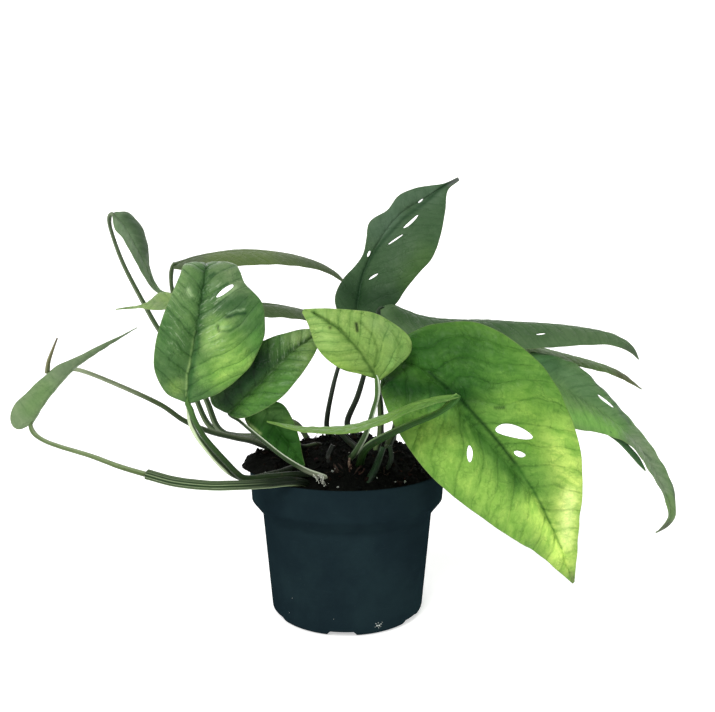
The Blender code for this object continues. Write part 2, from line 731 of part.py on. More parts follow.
def make_soil(parent, colour, stems):
    """The potting mix: it fills the pot, mounds above the rim, spills over it on the left, and has
    a socket for each stalk. Its origin is the middle of its underside."""
    bottom = np.array((0, 0, WALL + 0.2 + GAP))
    points, faces = [bottom], []
    for k in range(SOIL_SIDES):
        angle = 360 / SOIL_SIDES * k
        way = np.array((math.cos(math.radians(angle)), math.sin(math.radians(angle))))
        outline = soil_outline(angle)
        points += [np.array((*(way * r), z)) for r, z in outline]
    count = len(outline)
    points.append(np.array((0, 0, soil_top(0, 0))))
    for k in range(SOIL_SIDES):
        here, there = 1 + k * count, 1 + (k + 1) % SOIL_SIDES * count
        faces.append((0, there, here))
        for s in range(count - 1):
            faces.append((here + s, there + s, there + s + 1, here + s + 1))
        faces.append((here + count - 1, there + count - 1, len(points) - 1))
    mesh = mesh_of("potting_mix", points, faces, bottom)
    soil = new_object("potting_mix", mesh, bottom, parent, colour, 0.95)
    for name, (stalk, blade) in stems.items():
        if stalk.root is None:
            continue
        line = stalk_line(stalk, blade)[:4]
        line = np.vstack((line[0] - (0, 0, GAP), line[1:]))
        radii = np.full(len(line), stalk.radius[0] + GAP)
        cutter_name = f"socket_{name}"
        cutter = bpy.data.objects.new(
            cutter_name, tube_mesh(cutter_name, line, radii, STALK_SIDES)
        )
        bpy.context.scene.collection.objects.link(cutter)
        cutter.location = Vector(line[0]) * MM
        cutter.hide_render = True
        cutter.display_type = "WIRE"
        cut = soil.modifiers.new(cutter_name, "BOOLEAN")
        cut.object = cutter
    return soil


POT_COLOUR = (0.012, 0.022, 0.028)
SOIL_COLOUR = (0.012, 0.008, 0.006)
STALK_COLOUR = (0.12, 0.2, 0.07)
LEAF_COLOUR = (0.07, 0.2, 0.04)


def build():
    for obj in list(bpy.data.objects):
        bpy.data.objects.remove(obj)
    stems = {name: (stem, None) for name, stem in STEMS.items()}
    stems |= {f"{name}_stalk": (stalk, LEAVES[name]) for name, stalk in STALKS.items()}
    soil = make_soil(make_pot(POT_COLOUR), SOIL_COLOUR, stems)
    for name, (stalk, blade) in stems.items():
        parent = bpy.data.objects[GROWS_FROM[name]] if stalk.root is None else soil
        make_stalk(name, stalk, blade, parent, STALK_COLOUR)
    for name, leaf in LEAVES.items():
        make_blade(f"{name}_leaf", leaf, bpy.data.objects[f"{name}_stalk"], LEAF_COLOUR)


build()
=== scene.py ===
"""Looks for a climbing aroid in a round nursery pot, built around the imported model: blades with
veins, holes and slits, ridged stalks, a chunky potting mix and a dull plastic pot.

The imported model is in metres, and every table here is in millimetres. Blades and stalks are drawn
by sight: each point is the place where the viewer's eye sees it on the upright plane through the
pot's axis, and its distance in front of that plane."""

import math
from typing import NamedTuple

import bmesh
import bpy
import numpy as np
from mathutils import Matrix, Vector, noise


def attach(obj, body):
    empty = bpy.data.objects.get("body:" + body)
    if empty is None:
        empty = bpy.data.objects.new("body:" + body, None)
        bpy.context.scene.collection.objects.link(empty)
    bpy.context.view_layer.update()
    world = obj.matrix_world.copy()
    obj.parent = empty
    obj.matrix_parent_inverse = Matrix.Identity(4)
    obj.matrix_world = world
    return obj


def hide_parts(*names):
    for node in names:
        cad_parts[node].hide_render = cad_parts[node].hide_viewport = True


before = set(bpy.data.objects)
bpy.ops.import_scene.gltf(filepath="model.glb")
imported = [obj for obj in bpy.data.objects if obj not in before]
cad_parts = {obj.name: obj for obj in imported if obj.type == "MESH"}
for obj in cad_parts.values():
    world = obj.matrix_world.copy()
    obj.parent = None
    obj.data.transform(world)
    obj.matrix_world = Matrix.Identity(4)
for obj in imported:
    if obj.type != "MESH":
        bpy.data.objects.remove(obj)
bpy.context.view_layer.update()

MM = 0.001
EYE = np.array((0.0, -500.0, 220.0))
RANDOM = np.random.default_rng(7)

# The pot and its mix
POT_HEIGHT = 93.0
RIM_RADIUS = 61.8
COLLAR_BOTTOM = (60.6, 73.5)
STEP_BOTTOM = (53.9, 65.0)
FOOT_RADIUS = 48.4
CORNER_RADIUS = 4.5
WALL = 1.6
POT_SIDES = 180
MIX_SIDES, MIX_RINGS, MIX_DEPTH, LEAST_RISE = 400, 66, 2.5, 0.8
BARK_COUNT, PALE_COUNT, FIBRE_COUNT, FRAY_COUNT, STRAND_STEPS = 520, 12, 90, 16, 10
SLOT_COUNT = 6
FRONT_SLOT_ANGLE = -94.0
SLOT_BOTTOM_WIDTH, SLOT_TOP_WIDTH, SLOT_HEIGHT, SLOT_INNER_RADIUS = 20.0, 15.0, 3.5, 38.0
GAP, SIDE_GAP = 0.35, 0.6
MOUND_HEIGHT = 16.0
MOUND_EDGE_DROP = 3.0
CLOD_ANGLE_DEG, CLOD_SPREAD_DEG, CLOD_RISE, CLOD_OVERHANG = 183.0, 26.0, 12.0, 5.0
CLOD_ROUNDING = 12.0
CLOD_SETTLED = 0.75
SOCKET_DEPTH = 9.0
FOOT_UPRIGHT = 0.7

# The top of the pot's floor, and its wall's inner face below the lip, as (radius, height)
FLOOR_TOP = WALL + 0.2
INNER_WALL = (
    (COLLAR_BOTTOM[0] - WALL, COLLAR_BOTTOM[1] + WALL * 0.6),
    (STEP_BOTTOM[0] - WALL, STEP_BOTTOM[1] + WALL * 0.6),
    (FOOT_RADIUS - WALL - 0.4, CORNER_RADIUS + 0.5),
)

# Blades and stalks
GRID = 0.9
HALF_THICKNESS = 0.22
LEAST_HALF_WIDTH = 0.15
STALK_GRID = 1.0
SHEATHED = 7.0
STALK_SIDES = 40
# An open end's inner rings, below this share of the radius, take this share of their colour: painted shade
# inside the end.
HOLLOW_FROM, HOLLOW_SHADE = 0.73, 0.35
SMOOTHING = 6
ARCH = 0.07
VEIN_SINK, VEIN_WIDTH, RIB_SINK = 0.35, 0.7, 0.5
# The shares of a blade's length over which its relief comes in at the stalk and goes out at the tip
STALK_END, TIP_END = 0.12, 0.1
UNDER_SHARE = 0.7
FIGURE_STEP = 40.0
VEIN_LEAN, VEIN_BEND = 0.8, 0.004


class Leaf(NamedTuple):
    """A blade. lines holds its midrib; its left margin; and its right margin, each from the stalk
    to the tip. Left and right are as seen from the upper side with the tip ahead. A point is across,
    up and toward. A margin point may be only across and up: it then lies where its line of sight
    meets the plane of its half of the blade. That plane's normal turns from face at the stalk to
    face_tip at the tip, and each half is folded up from it by fold degrees."""

    lines: str
    face: tuple = (0.0, -1.0, 0.0)
    face_tip: tuple = (0.0, -1.0, 0.0)
    fold: tuple = (10, 10)


class Stalk(NamedTuple):
    """A leaf stalk or stem: x, y where it leaves the soil, or None where it grows from another
    piece, its radius at its foot and at its top, and the sighted points along it."""

    root: tuple
    radius: tuple
    route: str


def numbers(text):
    """The points in a text: numbers with spaces between them, and commas between the points."""
    return [tuple(float(n) for n in point.split()) for point in text.split(",")]


def sighted(across, up, toward):
    """The point that the viewer sees at across, up on the upright plane through the pot's axis, and
    that lies toward mm in front of that plane."""
    on_plane = np.array((across, 0.0, up))
    return EYE + (on_plane - EYE) * (1 + toward / EYE[1])


LEAVES = {
    "left_front": Leaf("""
    -101 133 52, -99 149 53, -95 172 53, -91 195 50, -88 212 44, -87 220 33, -89 218 16, -91 208 5;
    -104 134 53, -114 139 59, -121 154 65, -120 170 66, -115 187 63, -108 203.5 58, -104 212 52,
    -100.5 219.8 39, -95.5 218.5 20, -91.5 207 5;
    -97 133 51, -79 140 48, -63 154 46, -53 172 46, -51.6 185 44.5, -53.5 197 42.5, -59.5 203.7 41,
    -64 208.5 39.5, -66.5 215.5 37, -70.5 220 29, -80 217 12, -89 207 4"""),
    "left_upright": Leaf("""
    -144 251 -50, -138 245 -46, -132 234 -42, -126 222 -39, -122 212 -37, -118 204 -36, -109 201 -35;
    -141 252 -53, -134 251 -58, -128 245 -57, -123 232 -52, -121 216 -45, -117 205.5 -38, -109 201.5 -36;
    -144 249 -47, -143 242.5 -38, -137.3 234.8 -32, -130.2 222 -31, -124.8 211 -32, -119 203 -34,
    -109 200.5 -34"""),
    "back_left": Leaf("""
    -108 219 -72, -91 225 -77, -66 228 -82, -41 227 -86, -20 222 -88, -7 215 -88, -1 208 -87;
    -108 221 -76, -91 224 -95, -66 227 -105, -41 225 -106, -20 220 -101, -7 214 -94, -1 209 -89;
    -107 217 -68, -94 216 -60, -66 219 -62, -42 220 -68, -26 218 -75, -14 215 -80, -1 208 -86"""),
    "small_left": Leaf("""
    -100 197 12, -109 197 12, -118 197 11, -127 194.5 9, -135 193 7, -144 192 5;
    -101 196 13, -109 193 18, -117 191.5 17, -124 192 13, -129 192.9 10, -136 192.4 7, -144 191.8 5;
    -101 198 11, -107 201.5 6, -113 203.4 4, -118 202.2 4, -122.5 197.5 5, -127.5 195 7, -134 193.8 7,
    -144 192.3 5"""),
    "far_left": Leaf("""
    -200 119 46, -194.8 126.4 45, -190.9 132.5 44, -184.3 140.9 42, -177.8 148.5 40, -170 156 38,
    -162.3 161.1 36, -154.5 166.1 34, -145.7 171.5 32, -138.8 175.7 31, -131 180.6 30;
    -202 118.3 46, -207 115.8 47, -211 117.8 47, -212.3 124.5 46, -209 132.5 45, -202.5 138.6 44,
    -197.5 143.2 43, -193.3 147 42, -189 150.8 41.5, -184 155.4 40.5, -179.5 158.2 39.5, -174.5 160 38.5,
    -168.5 162.9 37, -160 167.1 35, -151.4 171.2 33.5, -143.1 174.9 32, -136.8 178 31, -131 180.9 30;
    -199 119.3 44, -195 127.6 36, -191.5 133.9 31, -185.3 142.3 28, -178.8 150 27, -171 157.4 27,
    -163.3 162.4 27, -155.3 167.3 28, -146.4 172.2 28.5, -139.2 176.1 29, -131 180.4 30"""),
    "back_middle": Leaf("""
    -62 194 -62, -53 195 -67, -39 194 -74, -22 190 -80, -8 182 -84;
    -61 195 -66, -53 195 -79, -39 193 -87, -22 189 -90, -8 183 -85;
    -61 192 -58, -53 187 -50, -39 187 -54, -23 185 -67, -8 182 -83"""),
    "centre_left": Leaf("""
    -75 126 40, -63 137 42, -49 151 42, -35 164 39, -25 172 34, -16 178 28;
    -78 127, -85 132, -86 142, -77 155, -64 166, -51 173, -39 177, -26 180, -16 179;
    -73 124, -66 123, -54 128, -42 136, -32 147, -24 158, -19 167, -15 177""",
        face=(-0.1, -0.95, 0.3), face_tip=(0.0, -0.9, 0.45), fold=(12, 12)),
    "low_inner": Leaf("""
    -56 133 30, -51 127 33, -45 117 36, -36 104 38, -28 91 39;
    -53 133, -42 133, -36 125, -31 112, -29 101, -27 92;
    -58 133, -65 125, -62 117, -54 109, -42 98, -28 91""",
        face=(0.2, -0.95, 0.2), face_tip=(0.2, -0.95, 0.2), fold=(12, 2)),
    "pale_centre": Leaf("""
    19 147 48, 16 158 50, 8 168 51, -1 176 50, -14 186 46, -27 192 38;
    18 148, 9 151, -3 154, -13 161, -20 170, -24 182, -28 190;
    21 147, 32 156, 40 164, 40 173, 32 181, 19 189, 2 192, -14 193, -27 192""",
        face=(0.1, -0.93, 0.35), face_tip=(0.0, -0.85, 0.5), fold=(10, 8)),
    "cross_front": Leaf("""
    70 137 78, 59 135 79, 43 131 80, 24 122 80, 2 116 80, -27 116 79, -51 121 77;
    71 136 80, 59 133 86, 43 128 92, 24 119 95, 2 113 95, -27 114 89, -50 120 78;
    70 138 76, 59 137 72, 43 133 68, 24 125 66, 2 118 66, -27 117 70, -50 121 76"""),
    "big_front": Leaf("""
    26 162 26, 41 157 37, 61 141 48, 74 123 54, 91 106 59, 106 88 61, 124 64 62, 137 39 60, 147 13 56;
    28 165, 38 176, 58 183, 82 183, 106 171, 127 152, 140 129, 148 108, 151 82, 150 52, 148 14;
    23 159, 21 146, 25 129, 35 110, 52 87, 74 67, 99 49, 122 34, 139 20, 147 13""",
        face=(-0.1, -0.8, 0.6), face_tip=(-0.15, -0.95, 0.3), fold=(9, 5)),
    "tall_back": Leaf("""
    5 183 -40, 7 198 -43, 10 213 -47, 16 227 -50, 27 244 -54, 36 253 -58, 48 260 -62, 60 268 -65,
    69 272 -67;
    2 183, -5 189, -7.6 199.2, -2.6 210.4, 9 224, 12 235, 14 246, 25 253, 32 262, 45 267, 59 269, 68 273;
    7 182, 19.6 186.6, 30.8 195.6, 35.9 203.6, 44.7 214.5, 53 224, 58 238, 61 254, 62 265, 69 271""",
        face=(-0.15, -0.95, 0.2), face_tip=(-0.15, -0.95, 0.25), fold=(20, 10)),
    "right_upper": Leaf("""
    20 192 -14, 28 195 -16, 37 191 -20, 52 186.3 -26, 83 184.3 -34, 121 183 -41, 159 178 -44,
    175 171.4 -42, 181.3 165.8 -40, 184.3 160 -38;
    21 193 -17, 27 194 -22, 37 190 -30, 52 185.4 -45, 83 182.5 -60, 121 180.3 -63, 159 177.2 -56,
    174 173.2 -49, 181.4 167.2 -43, 184.5 160.3 -38.5;
    21 191 -13, 24 181 -4, 36 174 -1, 65 168 -8, 96 166 -16, 122 167.2 -24, 147 169.3 -31, 166 169.2 -36,
    175.5 166.3 -38, 180.8 163.2 -38.5, 184.1 159.9 -38"""),
    "right_middle": Leaf("""
    77 169 -66, 103 170 -72, 128 166 -75, 154 159 -75, 173 152 -72, 187 141 -68;
    78 170 -70, 103 168 -88, 128 165 -91, 154 158 -87, 173 151 -80, 187.4 141.2 -69;
    78 167 -62, 103 162 -54, 128 159 -57, 154 154 -62, 173 148 -66, 187 140.8 -67.5"""),
    "right_drooping": Leaf("""
    78 152 -8, 103 152 -10, 129 146 -11, 151 134 -10, 173 118 -7, 190 100 -4, 202 79 -2, 209 63 0,
    207 52 2, 200 47 4;
    79 156 -12, 96 162 -24, 122 164 -30, 144 157 -28, 160 143.5 -23, 181 121.5 -17, 198 101 -11,
    209 81 -6, 213 67 -3, 210 53 0, 201 47 3;
    78 148 -4, 97 134 8, 122 118 10, 145 115.6 8, 160 113 6, 171 109.5 5, 181 104.5 4, 188.5 96 3.5,
    198 81.5 3, 205.5 68.5 3, 207 56 3, 200 46.5 5"""),
}

# A narrow lobe that a slit has freed from the drooping leaf's lower margin
DROOPING_LOBE = Leaf("""
    166 113.5 4.6, 172 109.8 3.6, 180 102.6 2, 187 94.2 1.2, 191.7 88 2;
    167 114.6 3, 173 111.2 2.1, 181.2 103.9 1, 188 95.9 0.7, 191.9 88.3 2;
    165 112.4 5.6, 171 108.5 4.4, 178.7 101.3 2.9, 186 93.2 1.8, 191.5 87.8 2""")

STALKS = {
    "left_front": Stalk((-19, -42), (2.4, 1.4), """
        -37 86 46, -50 85 48, -60 84 50, -66.5 84.5 52, -71 88 52, -76.5 94 52, -84.5 103.2 52,
        -91.5 112.3 52, -97 123 52, -99 129 52"""),
    "left_upright": Stalk((-40, 8), (2.3, 1.2), """
        -54 109 -8, -71 111 -18, -82 117 -26, -89 135 -32, -99 157 -37, -116 177 -42, -127.6 198 -47,
        -138.7 221 -53, -145 240 -55, -146 248 -52"""),
    "back_left": Stalk((-36, 20), (2.3, 1.3), """
        -50 111 -24, -71 112 -34, -86 117 -42, -94 132 -49, -100 154 -57, -105 185 -66, -109 207 -71"""),
    "small_left": Stalk((-29, -31), (2.0, 1.0), """
        -43 88 39, -52 86 40, -61 84 42, -68 84.5 44, -75 88 46, -81.5 94 46, -89 103 46, -95.5 112 44,
        -99.5 122 38, -100 138 28, -98 167 18, -98 187 13"""),
    "far_left": Stalk(None, (1.6, 1.1), """
        -129 87 49, -145 92 50, -163 99 50, -182 105 49, -192 109 48, -198 113.5 47"""),
    "back_middle": Stalk((-26, 30), (2.0, 1.2), """
        -32 119 -36, -45 125 -44, -54 136 -51, -60 154 -57, -63 176 -62"""),
    "centre_left": Stalk((-12, -47), (2.4, 1.2), """
        -26 89 52, -40 97.5 52, -54 109 48, -62 116 43, -69 122 35"""),
    "low_inner": Stalk((-18, -8), (2.0, 1.2), "-30 105 12, -43 119 16, -53 130 22"),
    "pale_centre": Stalk((2, -30), (1.9, 1.3), "6 102 35, 12 113 39, 16 126 43, 19 137 46"),
    "cross_front": Stalk((7, -36), (2.4, 1.6), "12 103 48, 24 111 60, 41 119 71, 59 127 77"),
    "big_front": Stalk((18, -16), (2.8, 1.8), "21 112 14, 21 131 10, 19 147 12, 21 156 18"),
    "tall_back": Stalk((-10, 8), (2.3, 1.4), "-13 119 -14, -10 138 -22, -5 157 -31, 2 174 -38"),
    "right_upper": Stalk((6, 14), (2.5, 1.4), "0 120 -20, 7 138 -21, 13 160 -21, 17 179 -20"),
    "right_middle": Stalk((30, 14), (2.2, 1.3), "30 115 -21, 35 134 -35, 46 154 -49, 62 166 -60"),
    "right_drooping": Stalk((26, -4), (2.6, 1.6), "26 105 2, 34 122 -4, 47 138 -8, 65 150 -9"),
}

# The stem that hangs over the rim and carries the far left leaf, the rolled new leaf, and short
# old stubs by the crown
STEMS = {
    "left_sheath_stem": Stalk((-24, -47), (2.5, 2.9), """
        -36 82 53, -47 81 56, -60 80 58, -73 79.5 58, -89 79.5 55, -110 82 51, -128 87 49"""),
    "rolled_new_stalk": Stalk((-44, -4), (2.0, 1.2), """
        -60 108 2, -71 110.5 0, -87 114.5 0, -103 121.5 4, -118 132 9, -143 144 15, -168 154 20,
        -179 153 22, -186 152 22"""),
    "rolled_new_leaf": Stalk(None, (1.5, 0.5), "-188 152 22, -187 159 22, -184 167 21, -181 174 20"),
    "old_stub_left": Stalk((6, -16), (2.2, 1.7), "1 108 12, -6 116 8"),
    "old_stub_middle": Stalk((-11, -32), (2.0, 1.4), "-12 98.5 31, -9 105.5 30"),
    "old_stub_right": Stalk((24, -36), (1.7, 1.2), "28 97 36, 27 105 35"),
    "old_sheath": Stalk((13, -48), (2.4, 1.6), "18 90 46, 23 104 42"),
}


class Look(NamedTuple):
    """A blade's colours and figure. Colours are sRGB, 0 to 255. Each line of washes is laid over the
    ground in turn: sighted spots | reach in mm, strength, red, green, blue. Besides the blade's own
    colour, the washes hold painted shadow where a blade in front shades it, painted highlights, and
    painted light shining through. holes are outlines with semicolons between them. Each line of the
    glint film is sighted spots | reach, strength of a pale film between the veins: painted glints
    of light. vein_gap is the distance between side veins along the midrib, and wander how much
    they stray. side_veins, network and mottle are strengths. quilt and ripple are heights in mm.
    shine names the upper side's material, after leaf_."""

    slot: str
    ground: tuple
    under: tuple
    washes: str = ""
    holes: str = ""
    painted_glints: str = ""
    vein_gap: float = 9.0
    side_veins: float = 0.5
    network: float = 0.4
    mottle: float = 0.4
    quilt: float = 0.5
    ripple: float = 0.8
    wander: float = 1.0
    shine: str = "soft"


LOOKS = {
    # The front left blade's narrow dark streaks at its slits and beside its hole are painted shade in
    # creases, and the pale streaks beside them painted highlights on their edges.
    "left_front": Look("leaf_mottled", (74, 109, 59), (115, 136, 97), """
    -67 207, -76 216 | 9 0.8 108 130 90
    -103 215, -108 199 | 8 0.75 116 146 92
    -98 192, -101 184 | 7 0.6 96 132 72
    -112 190, -115 170 | 8 0.5 84 122 68
    -104 168, -106 158 | 6 0.5 66 104 48
    -85 172, -79 182 | 7 0.85 150 184 104
    -82 158, -70 170 | 7 0.7 138 178 84
    -80 149, -66 159 | 8 0.85 136 180 80
    -90 146, -92 156 | 4 0.6 116 158 78
    -108 143 | 5 0.7 140 172 88
    -57 190, -55 178 | 7 0.8 68 108 52
    -57 172 | 6 0.7 92 142 62
    -70 176, -66 172 | 4 0.7 84 124 56
    -78 193, -66 197 | 6 0.8 58 90 52
    -98.5 160, -101 149, -101.5 138 | 0.8 0.7 160 190 120
    -95.5 178, -97.5 168, -98.5 160 | 0.6 0.45 150 180 112
    -99 204, -97 200.5 | 1.3 0.9 172 196 144
    -85 212.4, -82.6 213.8 | 1.3 0.9 40 78 38
    -84.5 198, -79.5 204.5, -74 208.3 | 0.8 0.8 60 96 52
    -79.5 198.5, -73 202, -69 205.5 | 1.2 0.7 142 168 120
    -75 189.3, -70 191.2, -64 191.8 | 0.6 0.6 140 166 126
    -75 187, -69.5 188.9, -63.5 189.6 | 1.1 0.95 26 62 28
    -78.5 180.6, -74 181.2 | 0.9 0.6 130 164 112
    -80.8 182.2, -80.2 178.4 | 0.7 0.9 26 60 28
    -79 178.2, -73 178.8, -68 182 | 0.7 0.7 52 92 44
    -87.5 221, -89.5 205, -92 186, -94 171 | 2.3 0.85 44 82 38
    -94 171, -98 152, -100 136 | 1.5 0.8 50 92 44""",
        holes="""
    -82.4 198.8, -79.2 203, -74.8 206.4, -70.8 208, -70.2 206.2, -73.6 203.4, -77.8 200.4""",
        painted_glints="""
    -105 206, -110 190, -108 170 | 7 0.24
    -83 205, -84 196, -88 180, -80 168 | 6 0.34""",
        vein_gap=10.0, side_veins=0.6, network=0.35, mottle=0.7, quilt=0.6, shine="waxy"),
    "left_upright": Look("leaf_dark", (95, 118, 86), (126, 138, 109), """
    -141 246, -137 240, -130 231 | 4 0.7 110 134 100
    -135 249, -128 241, -124 227 | 4 0.85 52 74 48
    -122 219, -119 208 | 4 0.7 92 112 80
    -142 249, -131 240, -123 221, -120 209 | 1.5 0.6 70 92 62""",
        vein_gap=7.0, side_veins=0.15, network=0.1, quilt=0.25, shine="dull"),
    "back_left": Look("leaf_olive", (76, 92, 56), (92, 105, 76), """
    -82 224, -51 225 | 8 0.7 84 106 51
    -108 219, -94 224 | 6 0.7 64 79 51
    -23 221, -3 213 | 6 0.7 66 81 54""",
        side_veins=0.08, network=0.05, mottle=0.3, quilt=0.12, ripple=0.5, shine="dull"),
    "small_left": Look("leaf_young", (127, 154, 92), (139, 161, 112), """
    -121 198, -113 190 | 4 0.5 119 136 102
    -143 193, -132 194 | 4 0.7 157 177 130""",
        vein_gap=5.0, side_veins=0.3, network=0.2, quilt=0.3, ripple=0.4),
    "far_left": Look("leaf_olive", (111, 131, 95), (124, 139, 111), """
    -180 153, -158 165, -136 177 | 4 0.7 93 111 82
    -190 142, -200 129 | 7 0.8 98 128 76""",
        vein_gap=8.0, side_veins=0.12, network=0.1, mottle=0.3, quilt=0.2, shine="dull"),
    "back_middle": Look("leaf_olive", (69, 87, 54), (86, 104, 68),
        side_veins=0.08, network=0.0, mottle=0.3, quilt=0.12, shine="dull"),
    # Its near black wash along the front left blade's edge is painted shadow of that blade.
    "centre_left": Look("leaf_mottled", (71, 107, 51), (98, 121, 77), """
    -75 134, -63 147, -54 160 | 12 0.98 2 36 6
    -33 173, -26 176 | 5 0.8 142 166 106
    -35 150, -47 139, -61 130 | 7 0.85 76 120 50
    -23 170, -26 156 | 7 0.7 111 140 77
    -64 142, -52 153, -36 166, -22 175 | 1.3 0.7 36 68 32""",
        painted_glints="""
    -44 162, -34 170, -24 176 | 5 0.22""",
        side_veins=0.6, mottle=0.6, quilt=0.6, shine="waxy"),
    "low_inner": Look("leaf_dark", (42, 83, 29), (76, 105, 54), """
    -55 126, -41 127 | 5 0.85 92 132 72
    -37 121 | 4 0.7 92 126 62
    -48 113, -40 108 | 5 0.85 18 58 8
    -64 121, -55 113 | 0.8 0.5 161 182 117""",
        vein_gap=8.0, side_veins=0.4, mottle=0.3),
    "pale_centre": Look("leaf_young", (126, 157, 80), (141, 165, 109), """
    -12 152, 2 145 | 9 0.85 150 186 78
    -20 188, -12 172 | 6 0.7 148 182 100
    30 158 | 5 0.6 136 180 100
    32 173, 35 159 | 8 0.6 117 152 80
    18 184, 26 179 | 7 0.6 119 146 88
    17 156, 19 166, 16 176, 8 184 | 0.9 0.7 87 118 51
    20 145, 30 156, 33 169, 28 179 | 0.9 0.6 92 124 56
    6 165, -6 163, -16 165 | 0.8 0.6 94 127 53
    16 149, 3 151, -7 156 | 0.8 0.5 94 127 53
    -21 190, -4 179, 8 165, 17 151, 20 136 | 1.2 0.9 75 107 45
    5.8 183, 6.4 178.5 | 1.1 1 22 36 14
    -10.8 180.2 | 1.2 0.9 50 72 28""",
        vein_gap=8.0, network=0.6, mottle=0.5, quilt=0.55, wander=1.2),
    "cross_front": Look("leaf_young", (106, 142, 67), (131, 158, 97), """
    69 134, 53 129, 37 123 | 5 0.8 73 117 47""",
        vein_gap=8.0, side_veins=0.25, network=0.2, mottle=0.25, quilt=0.3, ripple=0.3),
    # The front blade's pale, near white patches toward its tip are painted highlights and painted light
    # shining through it, and its dark upper part is partly painted shade.
    "big_front": Look("leaf_mottled", (95, 137, 57), (128, 150, 95), """
    36 168, 58 172, 84 164 | 17 0.9 38 82 26
    28 144, 49 140, 73 138 | 14 0.96 18 58 16
    42 160, 64 153, 86 146 | 9 0.75 40 86 28
    146 20, 147 15 | 1.8 0.85 92 100 72
    93 159, 116 144 | 13 0.7 74 119 47
    58 118, 68 102 | 8 0.7 112 156 62
    52 134, 60 128 | 5 0.6 84 130 60
    110 133, 128 118 | 12 0.8 110 150 60
    116 108, 130 98 | 8 0.6 106 148 56
    53 105, 79 82, 112 52 | 13 0.85 136 175 76
    137 108, 146 82, 143 56, 140 30 | 11 0.9 186 212 103
    143 72, 141 39 | 5 0.7 222 237 148
    76 124, 88 108, 110 82 | 6 0.8 48 92 32
    118 64, 130 46, 137 34 | 6 0.8 184 218 100
    136 114, 146 102 | 7 0.8 126 170 70
    94 129.2, 99.5 129.4 | 1 0.95 44 76 28
    52 152, 73 134, 91 114, 108 93 | 1.2 0.9 14 50 10
    108 93, 122 72, 131 54 | 1 0.8 48 92 30
    131 54, 139 37 | 0.8 0.7 96 138 54""",
        holes="""
    93.5 115, 97.5 119, 105 119, 114 115, 120 109.5, 113.5 108.5, 104 110.5, 97 112.5; 105.5 100.5,
    109 102, 115.5 98.5, 110.5 96.5; 77.5 106.5, 80.5 102, 80 95.5, 78 93, 76 99""",
        vein_gap=15.0, side_veins=0.45, network=0.45, mottle=0.75, quilt=0.9, ripple=1.0),
    "tall_back": Look("leaf_dark", (57, 83, 53), (79, 99, 75), """
    17 240, 28 259, 52 265 | 8 0.7 74 97 75
    63 269.5, 69 272 | 2.2 0.85 84 86 86
    48 224, 38 208 | 9 0.7 62 92 42
    -1 205, 10 198, 28 200 | 9 0.85 26 54 26
    20 216, 26 212 | 6 0.6 48 76 44
    30 250, 24 240 | 5 0.7 80 104 82
    6 195, 9 213, 16 226, 24 236, 35 248, 50 259, 62 270 | 1.3 0.8 32 61 35""",
        holes="""
    33.6 241.4, 39 246.6, 44.6 251.3, 43.3 248.3, 38 243; 22.8 230, 29 235.3, 37.4 240.1, 31.3 235.2;
    43 257, 45.2 259.4, 47.8 260.4, 45.5 258; 12.2 224.2, 13.2 228, 14.9 228.4, 13.9 225; 12.6 209.6,
    15.6 213, 20.8 215, 17.2 211.9""",
        vein_gap=10.0, side_veins=0.12, network=0.0, mottle=0.35, quilt=0.1, ripple=0.6, shine="dull"),
    # Its dark first wash, over the left part, is painted shadow of the blades in front of it.
    "right_upper": Look("leaf_olive", (74, 99, 64), (81, 104, 70), """
    33 189, 58 183, 96 181 | 6 0.85 44 72 37
    96 181, 124 177 | 6 0.7 54 82 46
    134 179, 172 171 | 4 0.7 72 95 62
    177 166, 182 163 | 4 0.7 65 74 60""",
        holes="""
    117.6 175.9, 121.8 176.9, 126.2 176.8, 121.8 175.6""",
        side_veins=0.15, network=0.1, mottle=0.35, quilt=0.25, shine="dull"),
    "right_middle": Look("leaf_olive", (97, 129, 69), (102, 133, 78), """
    174 150, 185 144 | 7 0.8 86 84 60""",
        side_veins=0.1, network=0.1, quilt=0.2, shine="dull"),
    "right_drooping": Look("leaf_olive", (88, 120, 67), (100, 126, 83), """
    100 158, 124 158 | 10 0.8 62 104 62
    128 157, 141 150, 152 141 | 8 0.85 58 90 56
    140 150, 160 136, 178 116 | 7 0.7 84 116 74
    110 140, 128 132 | 8 0.8 74 124 48
    130 124, 150 122, 170 114 | 6 0.85 106 154 72
    184 108, 196 92, 204 76 | 6 0.85 108 124 98
    210 66, 209 56 | 5 0.7 96 118 76
    200 104, 208 86, 213 68 | 1.3 0.7 66 78 66
    152 152, 165 138, 180 120 | 1.2 0.6 60 84 62
    179 104.5, 184 101.5 | 0.7 0.8 56 84 52
    189 101, 195 95.5 | 0.6 0.7 60 82 56
    203 49, 208 52 | 4 0.8 78 80 70""",
        holes="""
    158.3 138.6, 162.4 136, 166.6 132.8, 169.9 129.6, 169.3 128.9, 164.8 132, 160.7 135""",
        vein_gap=10.0, side_veins=0.15, network=0.1, mottle=0.45, shine="dull"),
}

DROOPING_LOBE_LOOK = Look("leaf_olive", (62, 92, 60), (80, 104, 72),
        side_veins=0.0, network=0.1, quilt=0.0, ripple=0.3)


class StalkLook(NamedTuple):
    """A stalk's colours from its foot to its top. side is a painted highlight: the colour of the side
    that faces side_way, from where that side's cosine is side_from and from side_start of the way
    up, and stripes how strongly that pale colour marks the ridges' crests. ridges is how many run
    along it and ridge_depth their share of its radius. swelling is how much thicker it grows where
    it joins its blade, and girth its share of the table's radius."""

    slot: str
    colours: str
    side: tuple = (110, 134, 84)
    side_way: tuple = (-0.7, -0.5, 0.5)
    side_strength: float = 0.5
    side_from: float = 0.3
    side_start: float = -1.0
    stripes: float = 0.0
    ridges: int = 7
    ridge_depth: float = 0.05
    swelling: float = 0.2
    girth: float = 1.0
    open_end: bool = False


